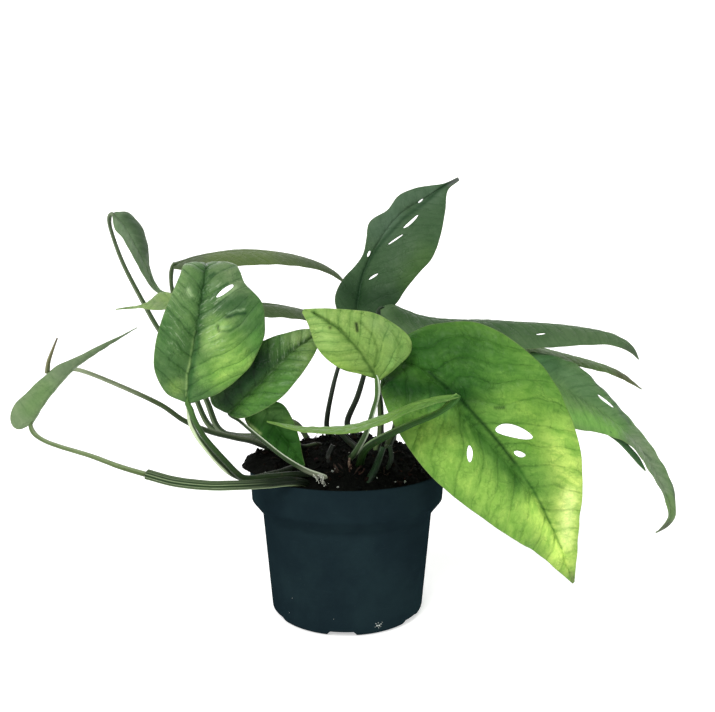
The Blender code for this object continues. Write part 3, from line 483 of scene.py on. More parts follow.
STALK_LOOKS = {
    "left_front_stalk": StalkLook(
        "stalk_dark", "14 24 10, 20 34 14, 28 46 18, 34 56 22, 44 70 30, 74 112 52",
        side=(140, 164, 116), side_way=(-0.95, -0.1, 0.3), side_strength=0.45, side_from=0.66),
    "left_upright_stalk": StalkLook("stalk_dark", "24 36 18, 34 54 24, 44 66 32, 66 84 54, 84 98 74",
        side=(128, 142, 112), side_way=(-0.9, -0.3, 0.1), side_strength=0.4),
    "back_left_stalk": StalkLook("stalk_dark", "22 34 16, 32 52 22, 40 62 28, 52 74 40, 66 84 52",
        side=(112, 128, 92), side_way=(-0.9, -0.3, 0.1), side_strength=0.4),
    "small_left_stalk": StalkLook(
        "stalk_green", "12 20 8, 18 30 12, 28 46 18, 44 68 30, 58 82 42, 64 88 50, 84 112 66",
        side=(196, 212, 172), side_way=(-0.95, -0.15, 0.3), side_strength=0.95, side_from=0.05,
        side_start=0.24),
    "far_left_stalk": StalkLook("stalk_green", "74 92 50, 92 110 68, 84 104 64",
        side=(140, 156, 116), side_way=(0.2, -0.3, 0.9), side_strength=0.6, side_from=0.5),
    "back_middle_stalk": StalkLook("stalk_dark", "20 30 16, 30 44 24, 56 82 42"),
    "centre_left_stalk": StalkLook("stalk_pale", "150 154 132, 40 58 30, 36 56 26, 44 70 34",
        side=(204, 214, 190), side_way=(0.4, -0.1, 0.9), side_strength=0.95, side_from=0.6, girth=0.72),
    "low_inner_stalk": StalkLook("stalk_dark", "8 14 6, 14 24 10, 24 44 18", side_strength=0.25),
    "pale_centre_stalk": StalkLook("stalk_dark", "60 78 50, 52 76 40, 72 106 48",
        side=(200, 214, 188), side_way=(0.9, -0.4, 0.1), side_strength=0.95, side_from=0.45),
    "cross_front_stalk": StalkLook("stalk_dark", "18 32 12, 26 50 16, 38 74 24, 52 96 34",
        side=(112, 150, 76), side_way=(-0.3, -0.2, 0.9), side_strength=0.8, side_from=0.6),
    "big_front_stalk": StalkLook("stalk_pale", "16 26 14, 24 38 20, 32 54 26", girth=0.8),
    "tall_back_stalk": StalkLook("stalk_dark", "16 20 14, 22 30 22, 32 48 34",
        side=(50, 62, 48), girth=0.8),
    "right_upper_stalk": StalkLook("stalk_dark", "18 24 16, 26 34 26, 38 56 38",
        side=(56, 68, 52), girth=0.85),
    "right_middle_stalk": StalkLook("stalk_dark", "20 30 16, 30 44 24, 56 82 42"),
    "right_drooping_stalk": StalkLook("stalk_dark", "18 32 14, 26 48 18, 44 74 32", side_strength=0.3),
    "left_sheath_stem": StalkLook("stalk_green", "6 14 5, 8 20 6, 14 32 8, 24 50 14, 26 50 18, 28 48 20",
        side=(160, 182, 134), side_way=(0, -0.3, -0.95), side_strength=0.6, side_from=0.75, stripes=0.7,
        ridges=11, ridge_depth=0.08, swelling=0.0, open_end=True),
    "rolled_new_stalk": StalkLook(
        "stalk_green", "20 30 16, 28 42 20, 38 56 28, 62 78 46, 140 152 120, 146 158 126",
        side=(124, 138, 104), side_way=(-0.3, -0.3, 0.9), side_strength=0.35, side_from=0.5),
    "rolled_new_leaf": StalkLook("new_growth", "84 96 64, 104 108 74, 110 108 78, 84 74 62",
        side=(142, 140, 108), side_strength=0.6, side_from=0.4, ridges=1, ridge_depth=0.2, swelling=0.0),
    "old_stub_left": StalkLook("old_sheath", "8 12 7, 11 17 9, 20 28 16",
        side=(40, 52, 36), ridges=5, ridge_depth=0.1, swelling=0.0, open_end=True),
    "old_stub_middle": StalkLook("old_sheath", "6 8 5, 8 11 7, 14 19 13",
        side=(26, 32, 24), ridges=5, ridge_depth=0.1, swelling=0.0, open_end=True),
    "old_stub_right": StalkLook("old_sheath", "10 16 9, 16 28 16, 28 44 28",
        side=(40, 58, 38), ridges=5, ridge_depth=0.1, swelling=0.0, open_end=True),
    "old_sheath": StalkLook("stalk_dark", "8 18 9, 14 32 16, 24 48 24",
        side=(34, 62, 34), ridges=5, ridge_depth=0.1, swelling=0.0, open_end=True),
}


def smooth_path(points, spacing):
    """Evenly spaced points, about spacing apart, along a Catmull-Rom curve through these points."""
    p = np.array(points, float)
    padded = np.vstack((2 * p[0] - p[1], p, 2 * p[-1] - p[-2]))
    fine = []
    for i in range(len(p) - 1):
        a, b, c, d = padded[i : i + 4]
        for t in np.linspace(0, 1, 24, endpoint=False):
            bend = (2 * a - 5 * b + 4 * c - d) * t**2
            fine.append(0.5 * (2 * b + (c - a) * t + bend + (3 * b - a - 3 * c + d) * t**3))
    fine = np.array(fine + [p[-1]])
    along = np.concatenate(([0], np.cumsum(np.linalg.norm(np.diff(fine, axis=0), axis=1))))
    count = max(4, round(along[-1] / spacing) + 1)
    at = np.linspace(0, along[-1], count)
    return np.stack([np.interp(at, along, fine[:, k]) for k in range(3)], axis=1)


def unit(v):
    return v / np.linalg.norm(v, axis=-1, keepdims=True)


def at_share(line, share):
    """Points at these shares of the way along a line of evenly spaced points."""
    at = np.clip(share, 0, 1) * (len(line) - 1)
    return np.stack([np.interp(at, range(len(line)), line[:, k]) for k in range(3)], axis=-1)


def margin_line(leaf, rib, picks, side):
    """A blade's margin as a smooth line. side is -1 on the left and 1 on the right."""
    drawn = np.array([pick[:2] for pick in picks], float)
    run = np.concatenate(([0], np.cumsum(np.linalg.norm(np.diff(drawn, axis=0), axis=1))))
    points = []
    for pick, share in zip(picks, run / run[-1]):
        if len(pick) == 3:
            points.append(sighted(*pick))
            continue
        centre = at_share(rib, share)
        ahead = unit(at_share(rib, share + 0.03) - at_share(rib, share - 0.03))
        face = np.array(leaf.face) * (1 - share) + np.array(leaf.face_tip) * share
        normal = unit(face - (face @ ahead) * ahead)
        fold = math.radians(leaf.fold[0 if side < 0 else 1])
        normal = normal * math.cos(fold) - side * np.cross(ahead, normal) * math.sin(fold)
        ray = sighted(*pick, 0.0) - EYE
        points.append(EYE + ray * ((centre - EYE) @ normal) / (ray @ normal))
    return smooth_path(points, 1.0)


def blade_grid(leaf):
    """Rows, from the stalk to the tip, of points across the blade from its left margin to its
    right one, and each column's place across, -1 to 1."""
    midrib, left, right = map(numbers, leaf.lines.split(";"))
    rib = smooth_path([sighted(*s) for s in midrib], 1.0)
    left, right = margin_line(leaf, rib, left, -1), margin_line(leaf, rib, right, 1)
    a = np.linspace(0, 1, int(len(rib) / GRID) + 1)[:, None]
    widest = max(np.linalg.norm(at_share(m, a) - at_share(rib, a), axis=-1).max() for m in (left, right))
    half_columns = int(widest / GRID) + 2
    across = np.linspace(-1, 1, 2 * half_columns + 1)
    b = across[None, :]
    side = np.where(b < 0, -1.0, 1.0)[..., None]
    centre = at_share(rib, a)
    ahead = unit(at_share(rib, a + 0.02) - at_share(rib, a - 0.02))
    inner = np.clip(a, 0.05, 0.95)
    spread = unit(at_share(right, inner) - at_share(left, inner))
    half = np.where(side < 0, at_share(left, a), at_share(right, a)) - centre
    half = half + side * LEAST_HALF_WIDTH * spread
    width = np.linalg.norm(half, axis=-1, keepdims=True)
    normal = side * unit(np.cross(half, ahead))
    out = np.abs(b)[..., None]
    points = centre + half * out + normal * ARCH * width * 4 * out * (1 - out)
    for _ in range(SMOOTHING):
        points[1:-1] = points[1:-1] / 2 + (points[2:] + points[:-2]) / 4
    return points, across


def seen_at(points):
    """Where the eye sees these points on the upright plane, as (across, up)."""
    reach = (points - EYE) * (-EYE[1] / (points[..., 1:2] - EYE[1]))
    return (EYE + reach)[..., [0, 2]]


def rounded(ring):
    """A closed outline with its corners cut three times."""
    ring = np.array(ring, float)
    for _ in range(3):
        after = np.roll(ring, -1, axis=0)
        ring = np.stack((ring * 0.75 + after * 0.25, ring * 0.25 + after * 0.75), axis=1)
        ring = ring.reshape(-1, 2)
    return ring


def inside(ring, spots):
    """Which of these spots lie inside the outline."""
    u, v = spots[..., 0], spots[..., 1]
    found = np.zeros(u.shape, bool)
    for (x0, y0), (x1, y1) in zip(ring, np.roll(ring, -1, axis=0)):
        if y0 != y1:
            found ^= ((y0 > v) != (y1 > v)) & (u < (x1 - x0) * (v - y0) / (y1 - y0) + x0)
    return found


def nearest_on(line, spot):
    """The nearest point of a line of spots to this spot, and its distance."""
    start, run = line[:-1], np.diff(line, axis=0)
    share = np.clip(((spot - start) * run).sum(1) / (run**2).sum(1), 0, 1)
    near = start + share[:, None] * run
    gap = np.linalg.norm(near - spot, axis=1)
    return near[gap.argmin()], gap.min()


def distance_to(line, spots):
    """The distance of each spot from a line of spots, or from a single one."""
    line = np.array(line, float)
    if len(line) == 1:
        return np.linalg.norm(spots - line[0], axis=-1)
    best = np.full(spots.shape[:-1], np.inf)
    for start, end in zip(line[:-1], line[1:]):
        run = end - start
        share = np.clip(((spots - start) @ run) / (run @ run), 0, 1)[..., None]
        best = np.minimum(best, np.linalg.norm(spots - start - share * run, axis=-1))
    return best


def wobble(x, y, seed, size):
    """Smooth noise, about -1 to 1, over arrays of millimetres."""
    x, y = np.broadcast_arrays(x, y)
    flat = [noise.noise(Vector((p / size, q / size, seed))) for p, q in zip(x.ravel(), y.ravel())]
    return np.array(flat).reshape(x.shape) * 1.6


def linear(rgb):
    """An sRGB colour, 0 to 255, as linear red, green and blue."""
    c = np.array(rgb, float) / 255
    return np.where(c <= 0.04045, c / 12.92, ((c + 0.055) / 1.055) ** 2.4)


def placed(name, data):
    """An object for this mesh, lamp or camera, in the scene."""
    obj = bpy.data.objects.new(name, data)
    bpy.context.scene.collection.objects.link(obj)
    return obj


def build(name, points, faces, materials, layers, stands_for=(), sharp=None):
    """A mesh object from points in millimetres. layers holds point attributes: a colour where it
    has four columns, else a vector. sharp is the least angle of an edge that isn't smoothed."""
    mesh = bpy.data.meshes.new(name)
    mesh.from_pydata((np.asarray(points) * MM).tolist(), [], faces)
    for material in materials:
        mesh.materials.append(material)
    for key, values in layers.items():
        if key == "face_material":
            mesh.polygons.foreach_set("material_index", np.asarray(values, np.int32))
            continue
        values = np.asarray(values, np.float32)
        kind, field = ("FLOAT_COLOR", "color") if values.shape[1] == 4 else ("FLOAT_VECTOR", "vector")
        layer = mesh.attributes.new(key, kind, "POINT")
        layer.data.foreach_set(field, values.ravel())
    mesh.shade_smooth()
    if sharp:
        mesh.set_sharp_from_angle(angle=math.radians(sharp))
    mesh.update()
    obj = placed(name, mesh)
    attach(obj, "root")
    if stands_for:
        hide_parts(*stands_for)
    return obj


class Shade:
    """Makes a material's nodes. An argument is a number, a colour or another node's output."""

    def __init__(self, name):
        self.material = bpy.data.materials.new(name)
        self.material.use_nodes = True
        self.tree = self.material.node_tree
        self.shader = self.tree.nodes["Principled BSDF"]

    def node(self, kind, out=0, settings=None, **inputs):
        made = self.tree.nodes.new("ShaderNode" + kind)
        for key, value in (settings or {}).items():
            setattr(made, key, value)
        for key, value in inputs.items():
            self.put(made.inputs[int(key[1:]) if key[1:].isdigit() else key.replace("_", " ")], value)
        return made.outputs[out]

    def put(self, socket, value):
        if isinstance(value, bpy.types.NodeSocket):
            self.tree.links.new(value, socket)
        elif isinstance(value, (tuple, list, np.ndarray)) and socket.type == "RGBA":
            socket.default_value = (*value, 1.0)[:4]
        else:
            socket.default_value = value

    def surface(self, **inputs):
        for key, value in inputs.items():
            self.put(self.shader.inputs[key.replace("_", " ")], value)
        return self.material

    def attribute(self, name, out="Vector"):
        return self.node("Attribute", out, {"attribute_name": name})

    def math(self, operation, total, *values):
        """The values taken into total one after the other."""
        for value in values:
            total = self.node("Math", 0, {"operation": operation}, i0=total, i1=value)
        return total

    def times(self, *values):
        return self.math("MULTIPLY", *values)

    def plus(self, *values):
        return self.math("ADD", *values)

    def fade(self, value, start, end, low=0.0, high=1.0):
        """A smooth step: low where value is start, high where it is end."""
        return self.node(
            "MapRange", 0, {"interpolation_type": "SMOOTHSTEP"},
            i0=value, i1=start, i2=end, i3=low, i4=high,
        )

    def parts(self, vector):
        split = self.tree.nodes.new("ShaderNodeSeparateXYZ")
        self.put(split.inputs[0], vector)
        return split.outputs

    def stretch(self, vector, scale):
        return self.node("Mapping", 0, None, Vector=vector, Scale=scale)

    def noise(self, vector, scale, detail=2.0, roughness=0.5):
        how = {"Vector": vector, "Scale": scale, "Detail": detail, "Roughness": roughness}
        return self.node("TexNoise", 0, None, **how)

    def shift(self, vector, scale, reach):
        """vector moved about by a smooth noise."""
        drift = self.node("TexNoise", 1, None, Vector=vector, Scale=scale, Detail=3.0)
        moved = self.node("VectorMath", 0, {"operation": "SCALE"}, i0=drift, Scale=reach)
        return self.node("VectorMath", 0, {"operation": "ADD"}, i0=vector, i1=moved)

    def tint(self, factor, base, other, blend="MIX"):
        """base with other laid over it by factor."""
        mixed = self.tree.nodes.new("ShaderNodeMix")
        mixed.data_type, mixed.blend_type = "RGBA", blend
        for index, value in ((0, factor), (6, base), (7, other)):
            self.put(mixed.inputs[index], value)
        return mixed.outputs[2]

    def dyed(self, tone, *dye):
        return self.tint(1.0, tone, dye, "MULTIPLY")

    def bump(self, height, depth):
        return self.node("Bump", 0, None, Height=height, Distance=depth, Strength=1.0)


def leaf_material(name, upper, gloss_level, smoothest, roughest):
    """A blade's surface. Of the points' layers, tone is the upper side's colour, with the washes' painted
    light and shade in it, and under the underside's, which takes a share of it; way is (across, along,
    seed) in mm; vein is (phase of the side veins, mm to the margin, mm to the midrib); figure is the
    strength of side veins, network and mottle; and the glint layer is that of a pale film between the
    veins, painted glints of light."""
    s = Shade(name)
    way, tone = s.attribute("way"), s.attribute("tone" if upper else "under", "Color")
    phase, edge, rib = s.parts(s.attribute("vein"))
    side_veins, network, mottle = s.parts(s.attribute("figure"))
    painted_glints = s.parts(s.attribute("painted_glints"))[0]
    bent = s.shift(s.shift(way, 0.07, 16.0), 0.25, 5.0)
    blotch = s.noise(s.shift(way, 0.1, 10.0), 0.12, 3.0, 0.6)
    run = s.node("CombineXYZ", 0, None, X=s.times(phase, 3.2), Y=s.times(rib, 0.13), Z=s.parts(way)[2])
    streak = s.noise(run, 1.0, 3.0, 0.6)
    fleck = s.noise(bent, 0.6, 4.0, 0.6)
    patchy = s.fade(s.noise(way, 0.1, 3.0), 0.35, 0.62, 0.2, 1.0)
    other_patchy = s.fade(s.noise(s.shift(way, 0.05, 40.0), 0.13, 3.0), 0.35, 0.6, 0.25, 1.0)
    ripple = s.math("PINGPONG", s.plus(phase, s.times(s.math("SUBTRACT", fleck, 0.5), 0.12)), 0.5)
    lateral = s.fade(s.times(ripple, s.fade(rib, 0.0, 40.0, 1.0, 2.0)), 0.015, 0.1, 1.0, 0.0)
    between = s.fade(ripple, 0.05, 0.45)
    forked = s.plus(s.times(rib, 0.045), s.times(fleck, 0.9), s.times(phase, 2.0))
    branch = s.fade(s.math("PINGPONG", forked, 0.5), 0.02, 0.12, 1.0, 0.0)

    def cell_edges(scale, width, patches):
        cells = s.node("TexVoronoi", 0, {"feature": "DISTANCE_TO_EDGE"}, Vector=bent, Scale=scale)
        return s.times(s.math("POWER", patches, 2.0), s.fade(cells, 0.0, width, 1.0, 0.0))

    net, small_net = cell_edges(0.15, 0.1, patchy), cell_edges(0.42, 0.16, other_patchy)
    colour = tone
    for figure, start, end, strength, dye in (
        (streak, 0.5, 0.72, 0.9, (1.6, 1.35, 1.5)),
        (streak, 0.5, 0.32, 0.9, (0.48, 0.64, 0.48)),
        (blotch, 0.5, 0.72, 0.7, (1.45, 1.28, 1.4)),
        (blotch, 0.5, 0.3, 0.6, (0.5, 0.68, 0.5)),
        (fleck, 0.45, 0.7, 0.5, (0.62, 0.75, 0.6)),
    ):
        colour = s.tint(s.times(mottle, s.fade(figure, start, end), strength), colour, s.dyed(tone, *dye))
    by_veins = s.times(side_veins, s.math("SUBTRACT", 1.0, between), 0.5)
    colour = s.tint(by_veins, colour, s.dyed(tone, 0.6, 0.75, 0.62))
    dark = s.dyed(tone, *((0.3, 0.45, 0.34) if upper else (1.25, 1.2, 1.25)))
    for lines in (
        s.times(network, net, 0.6), s.times(network, small_net, 0.35),
        s.times(side_veins, branch, patchy, 0.5), s.times(side_veins, lateral, other_patchy),
    ):
        colour = s.tint(lines, colour, dark)
    # A pale film between the veins, streaked along them: painted glints of light.
    glint_film = s.times(
        painted_glints, s.fade(ripple, 0.06, 0.2), s.fade(ripple, 0.46, 0.3),
        s.fade(s.noise(s.stretch(run, (2.6, 2.2, 1.0)), 1.0, 3.0, 0.6), 0.5, 0.66),
    )
    colour = s.tint(glint_film, colour, (0.56, 0.66, 0.46))
    rim = s.fade(edge, 0.0, 0.7, 1.0, 0.0)
    colour = s.tint(s.times(rim, 0.35), colour, (0.2, 0.26, 0.1))
    sunken = s.plus(s.times(small_net, 0.3), s.times(lateral, 0.4), s.times(net, 0.7))
    return s.surface(
        Base_Color=colour,
        Specular_IOR_Level=gloss_level,
        Roughness=s.fade(s.noise(way, 0.35, 3.0), 0.3, 0.7, smoothest, roughest),
        Normal=s.bump(s.math("SUBTRACT", s.times(fleck, 0.5), sunken), 0.00025 if upper else 0.0002),
    )


def stalk_material():
    """A stalk's surface. way is (x, y around it, along it) in mm."""
    s = Shade("stalk")
    way, tone = s.attribute("way"), s.attribute("tone", "Color")
    streak = s.noise(s.stretch(way, (1.3, 1.3, 0.05)), 1.0, 3.0, 0.6)
    fine = s.noise(s.stretch(way, (3.2, 3.2, 0.16)), 1.0, 3.0, 0.7)
    spots = s.noise(way, 0.35, 4.0, 0.7)
    colour = s.tint(s.fade(streak, 0.45, 0.75, 0.0, 0.6), tone, s.dyed(tone, 1.7, 1.5, 1.8))
    colour = s.tint(s.fade(fine, 0.5, 0.75, 0.0, 0.6), colour, s.dyed(tone, 0.5, 0.6, 0.5))
    colour = s.tint(s.fade(spots, 0.58, 0.7, 0.0, 0.4), colour, (0.05, 0.035, 0.02))
    return s.surface(
        Base_Color=colour,
        Specular_IOR_Level=0.15,
        Roughness=s.fade(fine, 0.3, 0.7, 0.3, 0.5),
        Normal=s.bump(s.plus(streak, fine), 0.0002),
    )


def pot_material():
    """Thin blue-black nursery plastic, dusty and lightly scuffed, with painted shade on the sloping
    band under its collar.
    """
    s = Shade("pot_plastic")
    place = s.node("TexCoord", 3)
    cloud = s.noise(place, 28.0, 4.0, 0.6)
    grain = s.noise(place, 1400.0, 2.0, 0.6)
    scuff = s.noise(s.stretch(place, (60.0, 60.0, 700.0)), 1.0, 3.0, 0.6)
    dust = s.noise(place, 420.0, 3.0, 0.7)
    colour = s.tint(s.fade(cloud, 0.35, 0.7), linear((21, 33, 38)), linear((26, 40, 44)))
    colour = s.tint(s.fade(scuff, 0.6, 0.8, 0.0, 0.35), colour, linear((34, 48, 52)))
    # Painted shade on the sloping band between the step and the collar.
    height = s.parts(place)[2]
    step = s.times(s.fade(height, 0.062, 0.0655), s.fade(height, 0.0765, 0.072))
    colour = s.tint(s.times(step, 0.12), colour, linear((2, 6, 8)))
    colour = s.tint(s.fade(dust, 0.7, 0.78, 0.0, 0.4), colour, linear((60, 70, 70)))
    return s.surface(
        Base_Color=colour,
        Specular_IOR_Level=0.0,
        Roughness=s.fade(cloud, 0.3, 0.7, 0.4, 0.55),
        Normal=s.bump(s.plus(grain, s.times(scuff, 0.4)), 0.00006),
    )


def grit_material(name, roughness, contrast):
    """Loose grains and chips: tone is each one's own colour."""
    s = Shade(name)
    place = s.node("TexCoord", 3)
    tone = s.attribute("tone", "Color")
    rough = s.noise(place, 900.0, 4.0, 0.7)
    dark = s.dyed(tone, *(1 - contrast,) * 3)
    return s.surface(
        Base_Color=s.tint(s.fade(rough, 0.4, 0.65), dark, tone),
        Specular_IOR_Level=0.05,
        Roughness=roughness,
        Normal=s.bump(rough, 0.0004),
    )


def laid_over(text, seen):
    """Each line of a text of washes or glint film: its share at each of the spots seen, and its colour."""
    for entry in text.strip().splitlines():
        line, rest = entry.split("|")
        ((reach, strength, *colour),) = numbers(rest)
        yield strength * np.exp(-((distance_to(numbers(line), seen) / reach) ** 2))[..., None], colour


def tube(rings, sides):
    """Faces along rings of points, with a flat end on the first and the last ring."""
    faces = [tuple(range(sides))[::-1], tuple((rings - 1) * sides + k for k in range(sides))]
    for i in range(rings - 1):
        for k in range(sides):
            a, c = i * sides + k, i * sides + (k + 1) % sides
            faces.append((a, c, c + sides, a + sides))
    return faces


def make_leaf(name, leaf, look, seed, stands_for=()):
    """A thin closed blade with sunken veins, quilting between them, a keel under the midrib, a
    rippled margin, and its holes."""
    points, across = blade_grid(leaf)
    rows, columns = points.shape[:2]
    middle = columns // 2
    steps = np.linalg.norm(np.diff(points, axis=1), axis=-1)
    x = np.concatenate((np.zeros((rows, 1)), np.cumsum(steps, axis=1)), axis=1)
    x -= x[:, middle : middle + 1]
    run = np.linalg.norm(np.diff(points[:, middle], axis=0), axis=-1)
    y = np.concatenate(([0], np.cumsum(run)))[:, None] + np.zeros_like(x)
    length = y[-1, 0]
    along = y / length
    b = across[None, :] + np.zeros_like(x)
    out = np.abs(x)
    edge = np.where(x < 0, -x[:, :1], x[:, -1:]) - out
    normal = unit(np.cross(np.gradient(points, axis=1), np.gradient(points, axis=0)))
    warp = look.wander * (wobble(x, y, seed, 26.0) * 0.28 + wobble(x, y, seed + 1, 9.0) * 0.07)
    warp += np.where(x < 0, 0.37, 0.0)
    phase = (y - VEIN_LEAN * out - VEIN_BEND * out**2) / look.vein_gap + warp
    away = np.abs(phase - np.round(phase)) * look.vein_gap
    to_tip = np.clip((1 - along) / TIP_END, 0, 1)
    ends = np.clip(along / STALK_END, 0, 1) * to_tip
    inner = ends * np.clip(edge / 3.0, 0, 1)
    height = look.quilt * inner * (np.clip(away / (look.vein_gap / 2), 0, 1) ** 0.6 - 0.6)
    height -= VEIN_SINK * look.quilt * inner * np.exp(-((away / VEIN_WIDTH) ** 2))
    height += look.quilt * 0.35 * inner * wobble(x, y, seed + 3, 4.0)
    height += look.ripple * ends * wobble(x, y, seed + 5, 30.0) * np.clip(out / 8, 0, 1)
    height += look.ripple * ends * np.abs(b) ** 4 * wobble(x * 0, y, seed + 9, 9.0)
    rib_width = 1.5 - 1.0 * along
    height -= RIB_SINK * np.exp(-((out / rib_width) ** 2)) * to_tip
    keel = (1.1 - 0.9 * along) * np.exp(-((out / (rib_width * 0.8)) ** 2))
    thick = HALF_THICKNESS * (0.4 + 0.6 * np.clip(edge / 1.5, 0, 1))
    surface = points + normal * height[..., None]
    keep, surface = cut_holes(surface, normal, [numbers(hole) for hole in look.holes.split(";") if hole])
    top = surface + normal * thick[..., None]
    bottom = surface - normal * (thick + keel)[..., None]

    seen = seen_at(points)
    tone = np.zeros((rows, columns, 4)) + (*linear(look.ground), 1)
    for share, colour in laid_over(look.washes, seen):
        tone = tone * (1 - share) + np.array((*linear(colour), 1)) * share
    # The underside takes a share of the upper side's washes, painted light and shade among them.
    under = np.zeros_like(tone) + (*linear(look.under), 1)
    under = under * UNDER_SHARE + tone * (1 - UNDER_SHARE)
    way = np.stack((x, y, np.full_like(x, seed * FIGURE_STEP)), axis=-1)
    vein = np.stack((phase, edge, out), axis=-1)
    figure = np.zeros_like(way) + (look.side_veins, look.network, look.mottle)
    painted_glints = np.zeros_like(way)
    for share, _ in laid_over(look.painted_glints, seen):
        painted_glints = np.maximum(painted_glints, share)

    index = np.arange(rows * columns).reshape(rows, columns)
    quads = np.stack((index[:-1, :-1], index[:-1, 1:], index[1:, 1:], index[1:, :-1]), axis=-1)
    quads = quads[keep]
    rim = open_edges(quads)
    count = rows * columns
    used = np.unique(quads)
    renumber = np.zeros(2 * count, int)
    renumber[used], renumber[used + count] = np.arange(len(used)), np.arange(len(used)) + len(used)
    sides = np.stack((rim[:, 1], rim[:, 0], rim[:, 0] + count, rim[:, 1] + count), axis=-1)
    faces = renumber[np.concatenate((quads, quads[:, ::-1] + count, sides))].tolist()

    def both(values):
        flat = values.reshape(count, -1)[used]
        return np.vstack((flat, flat))

    layers = dict(tone=tone, under=under, way=way, vein=vein, figure=figure, painted_glints=painted_glints)
    layers = {key: both(values) for key, values in layers.items()}
    layers["face_material"] = [0] * len(quads) + [1] * len(quads) + [0] * len(sides)
    solid = np.vstack((top.reshape(-1, 3)[used], bottom.reshape(-1, 3)[used]))
    build(
        f"{name}_blade", solid, faces, (MATERIALS[f"leaf_{look.shine}"], MATERIALS["leaf_under"]), layers,
        stands_for=stands_for,
    )


def open_edges(quads):
    """The directed edges of these faces that no other face shares."""
    ends = np.concatenate([quads[:, [k, (k + 1) % 4]] for k in range(4)])
    size = ends.max() + 1
    forward, backward = ends[:, 0] * size + ends[:, 1], ends[:, 1] * size + ends[:, 0]
    return ends[~np.isin(forward, backward)]


def cut_holes(surface, normal, holes):
    """Which of the grid's faces stay, and the grid with the holes' borders drawn to their outlines."""
    surface = surface.copy()
    spots = seen_at(surface)
    centres = (spots[:-1, :-1] + spots[1:, :-1] + spots[:-1, 1:] + spots[1:, 1:]) / 4
    keep = np.ones(centres.shape[:2], bool)
    for hole in holes:
        ring = rounded(hole)
        gone = inside(ring, centres)
        keep &= ~gone
        touched = np.zeros(spots.shape[:2], int)
        for i, j in ((0, 0), (1, 0), (0, 1), (1, 1)):
            touched[i : i + gone.shape[0], j : j + gone.shape[1]] += gone
        closed = np.vstack((ring, ring[:1]))
        for i, j in np.argwhere((touched > 0) & (touched < 4)):
            spot, gap = nearest_on(closed, spots[i, j])
            if gap < 1.2 * GRID:
                ray = sighted(*spot, 0.0) - EYE
                n = normal[i, j]
                surface[i, j] = EYE + ray * ((surface[i, j] - EYE) @ n) / (ray @ n)
    return keep, surface


def stalk_path(name):
    """Points along a stalk from its foot, in the soil or on another piece, and on under its blade's
    midrib, and how many millimetres of it lie under the blade."""
    base = name.removesuffix("_stalk")
    stalk, blade = (STALKS[base], LEAVES[base]) if base in STALKS else (STEMS[name], None)
    points = [sighted(*s) for s in numbers(stalk.route)]
    under = 0.0
    if stalk.root is not None:
        foot = np.array((*stalk.root, soil_top(*stalk.root)))
        lean = unit(unit(points[0] - foot) + (0, 0, FOOT_UPRIGHT))
        points = [foot - lean * SOCKET_DEPTH, foot] + points
    elif blade is not None:
        points.insert(0, points[0] - unit(points[1] - points[0]) * SHEATHED)
    if blade is not None:
        grid, _ = blade_grid(blade)
        middle = grid.shape[1] // 2
        normal = unit(np.cross(np.gradient(grid, axis=1), np.gradient(grid, axis=0)))
        for mm, sink in ((0, 0.3), (5, 0.9)):
            row = min(int(mm / GRID), len(grid) - 2)
            points.append(grid[row, middle] - normal[row, middle] * sink)
        under = np.linalg.norm(points[-1] - points[-2])
    return stalk, smooth_path(points, STALK_GRID), under


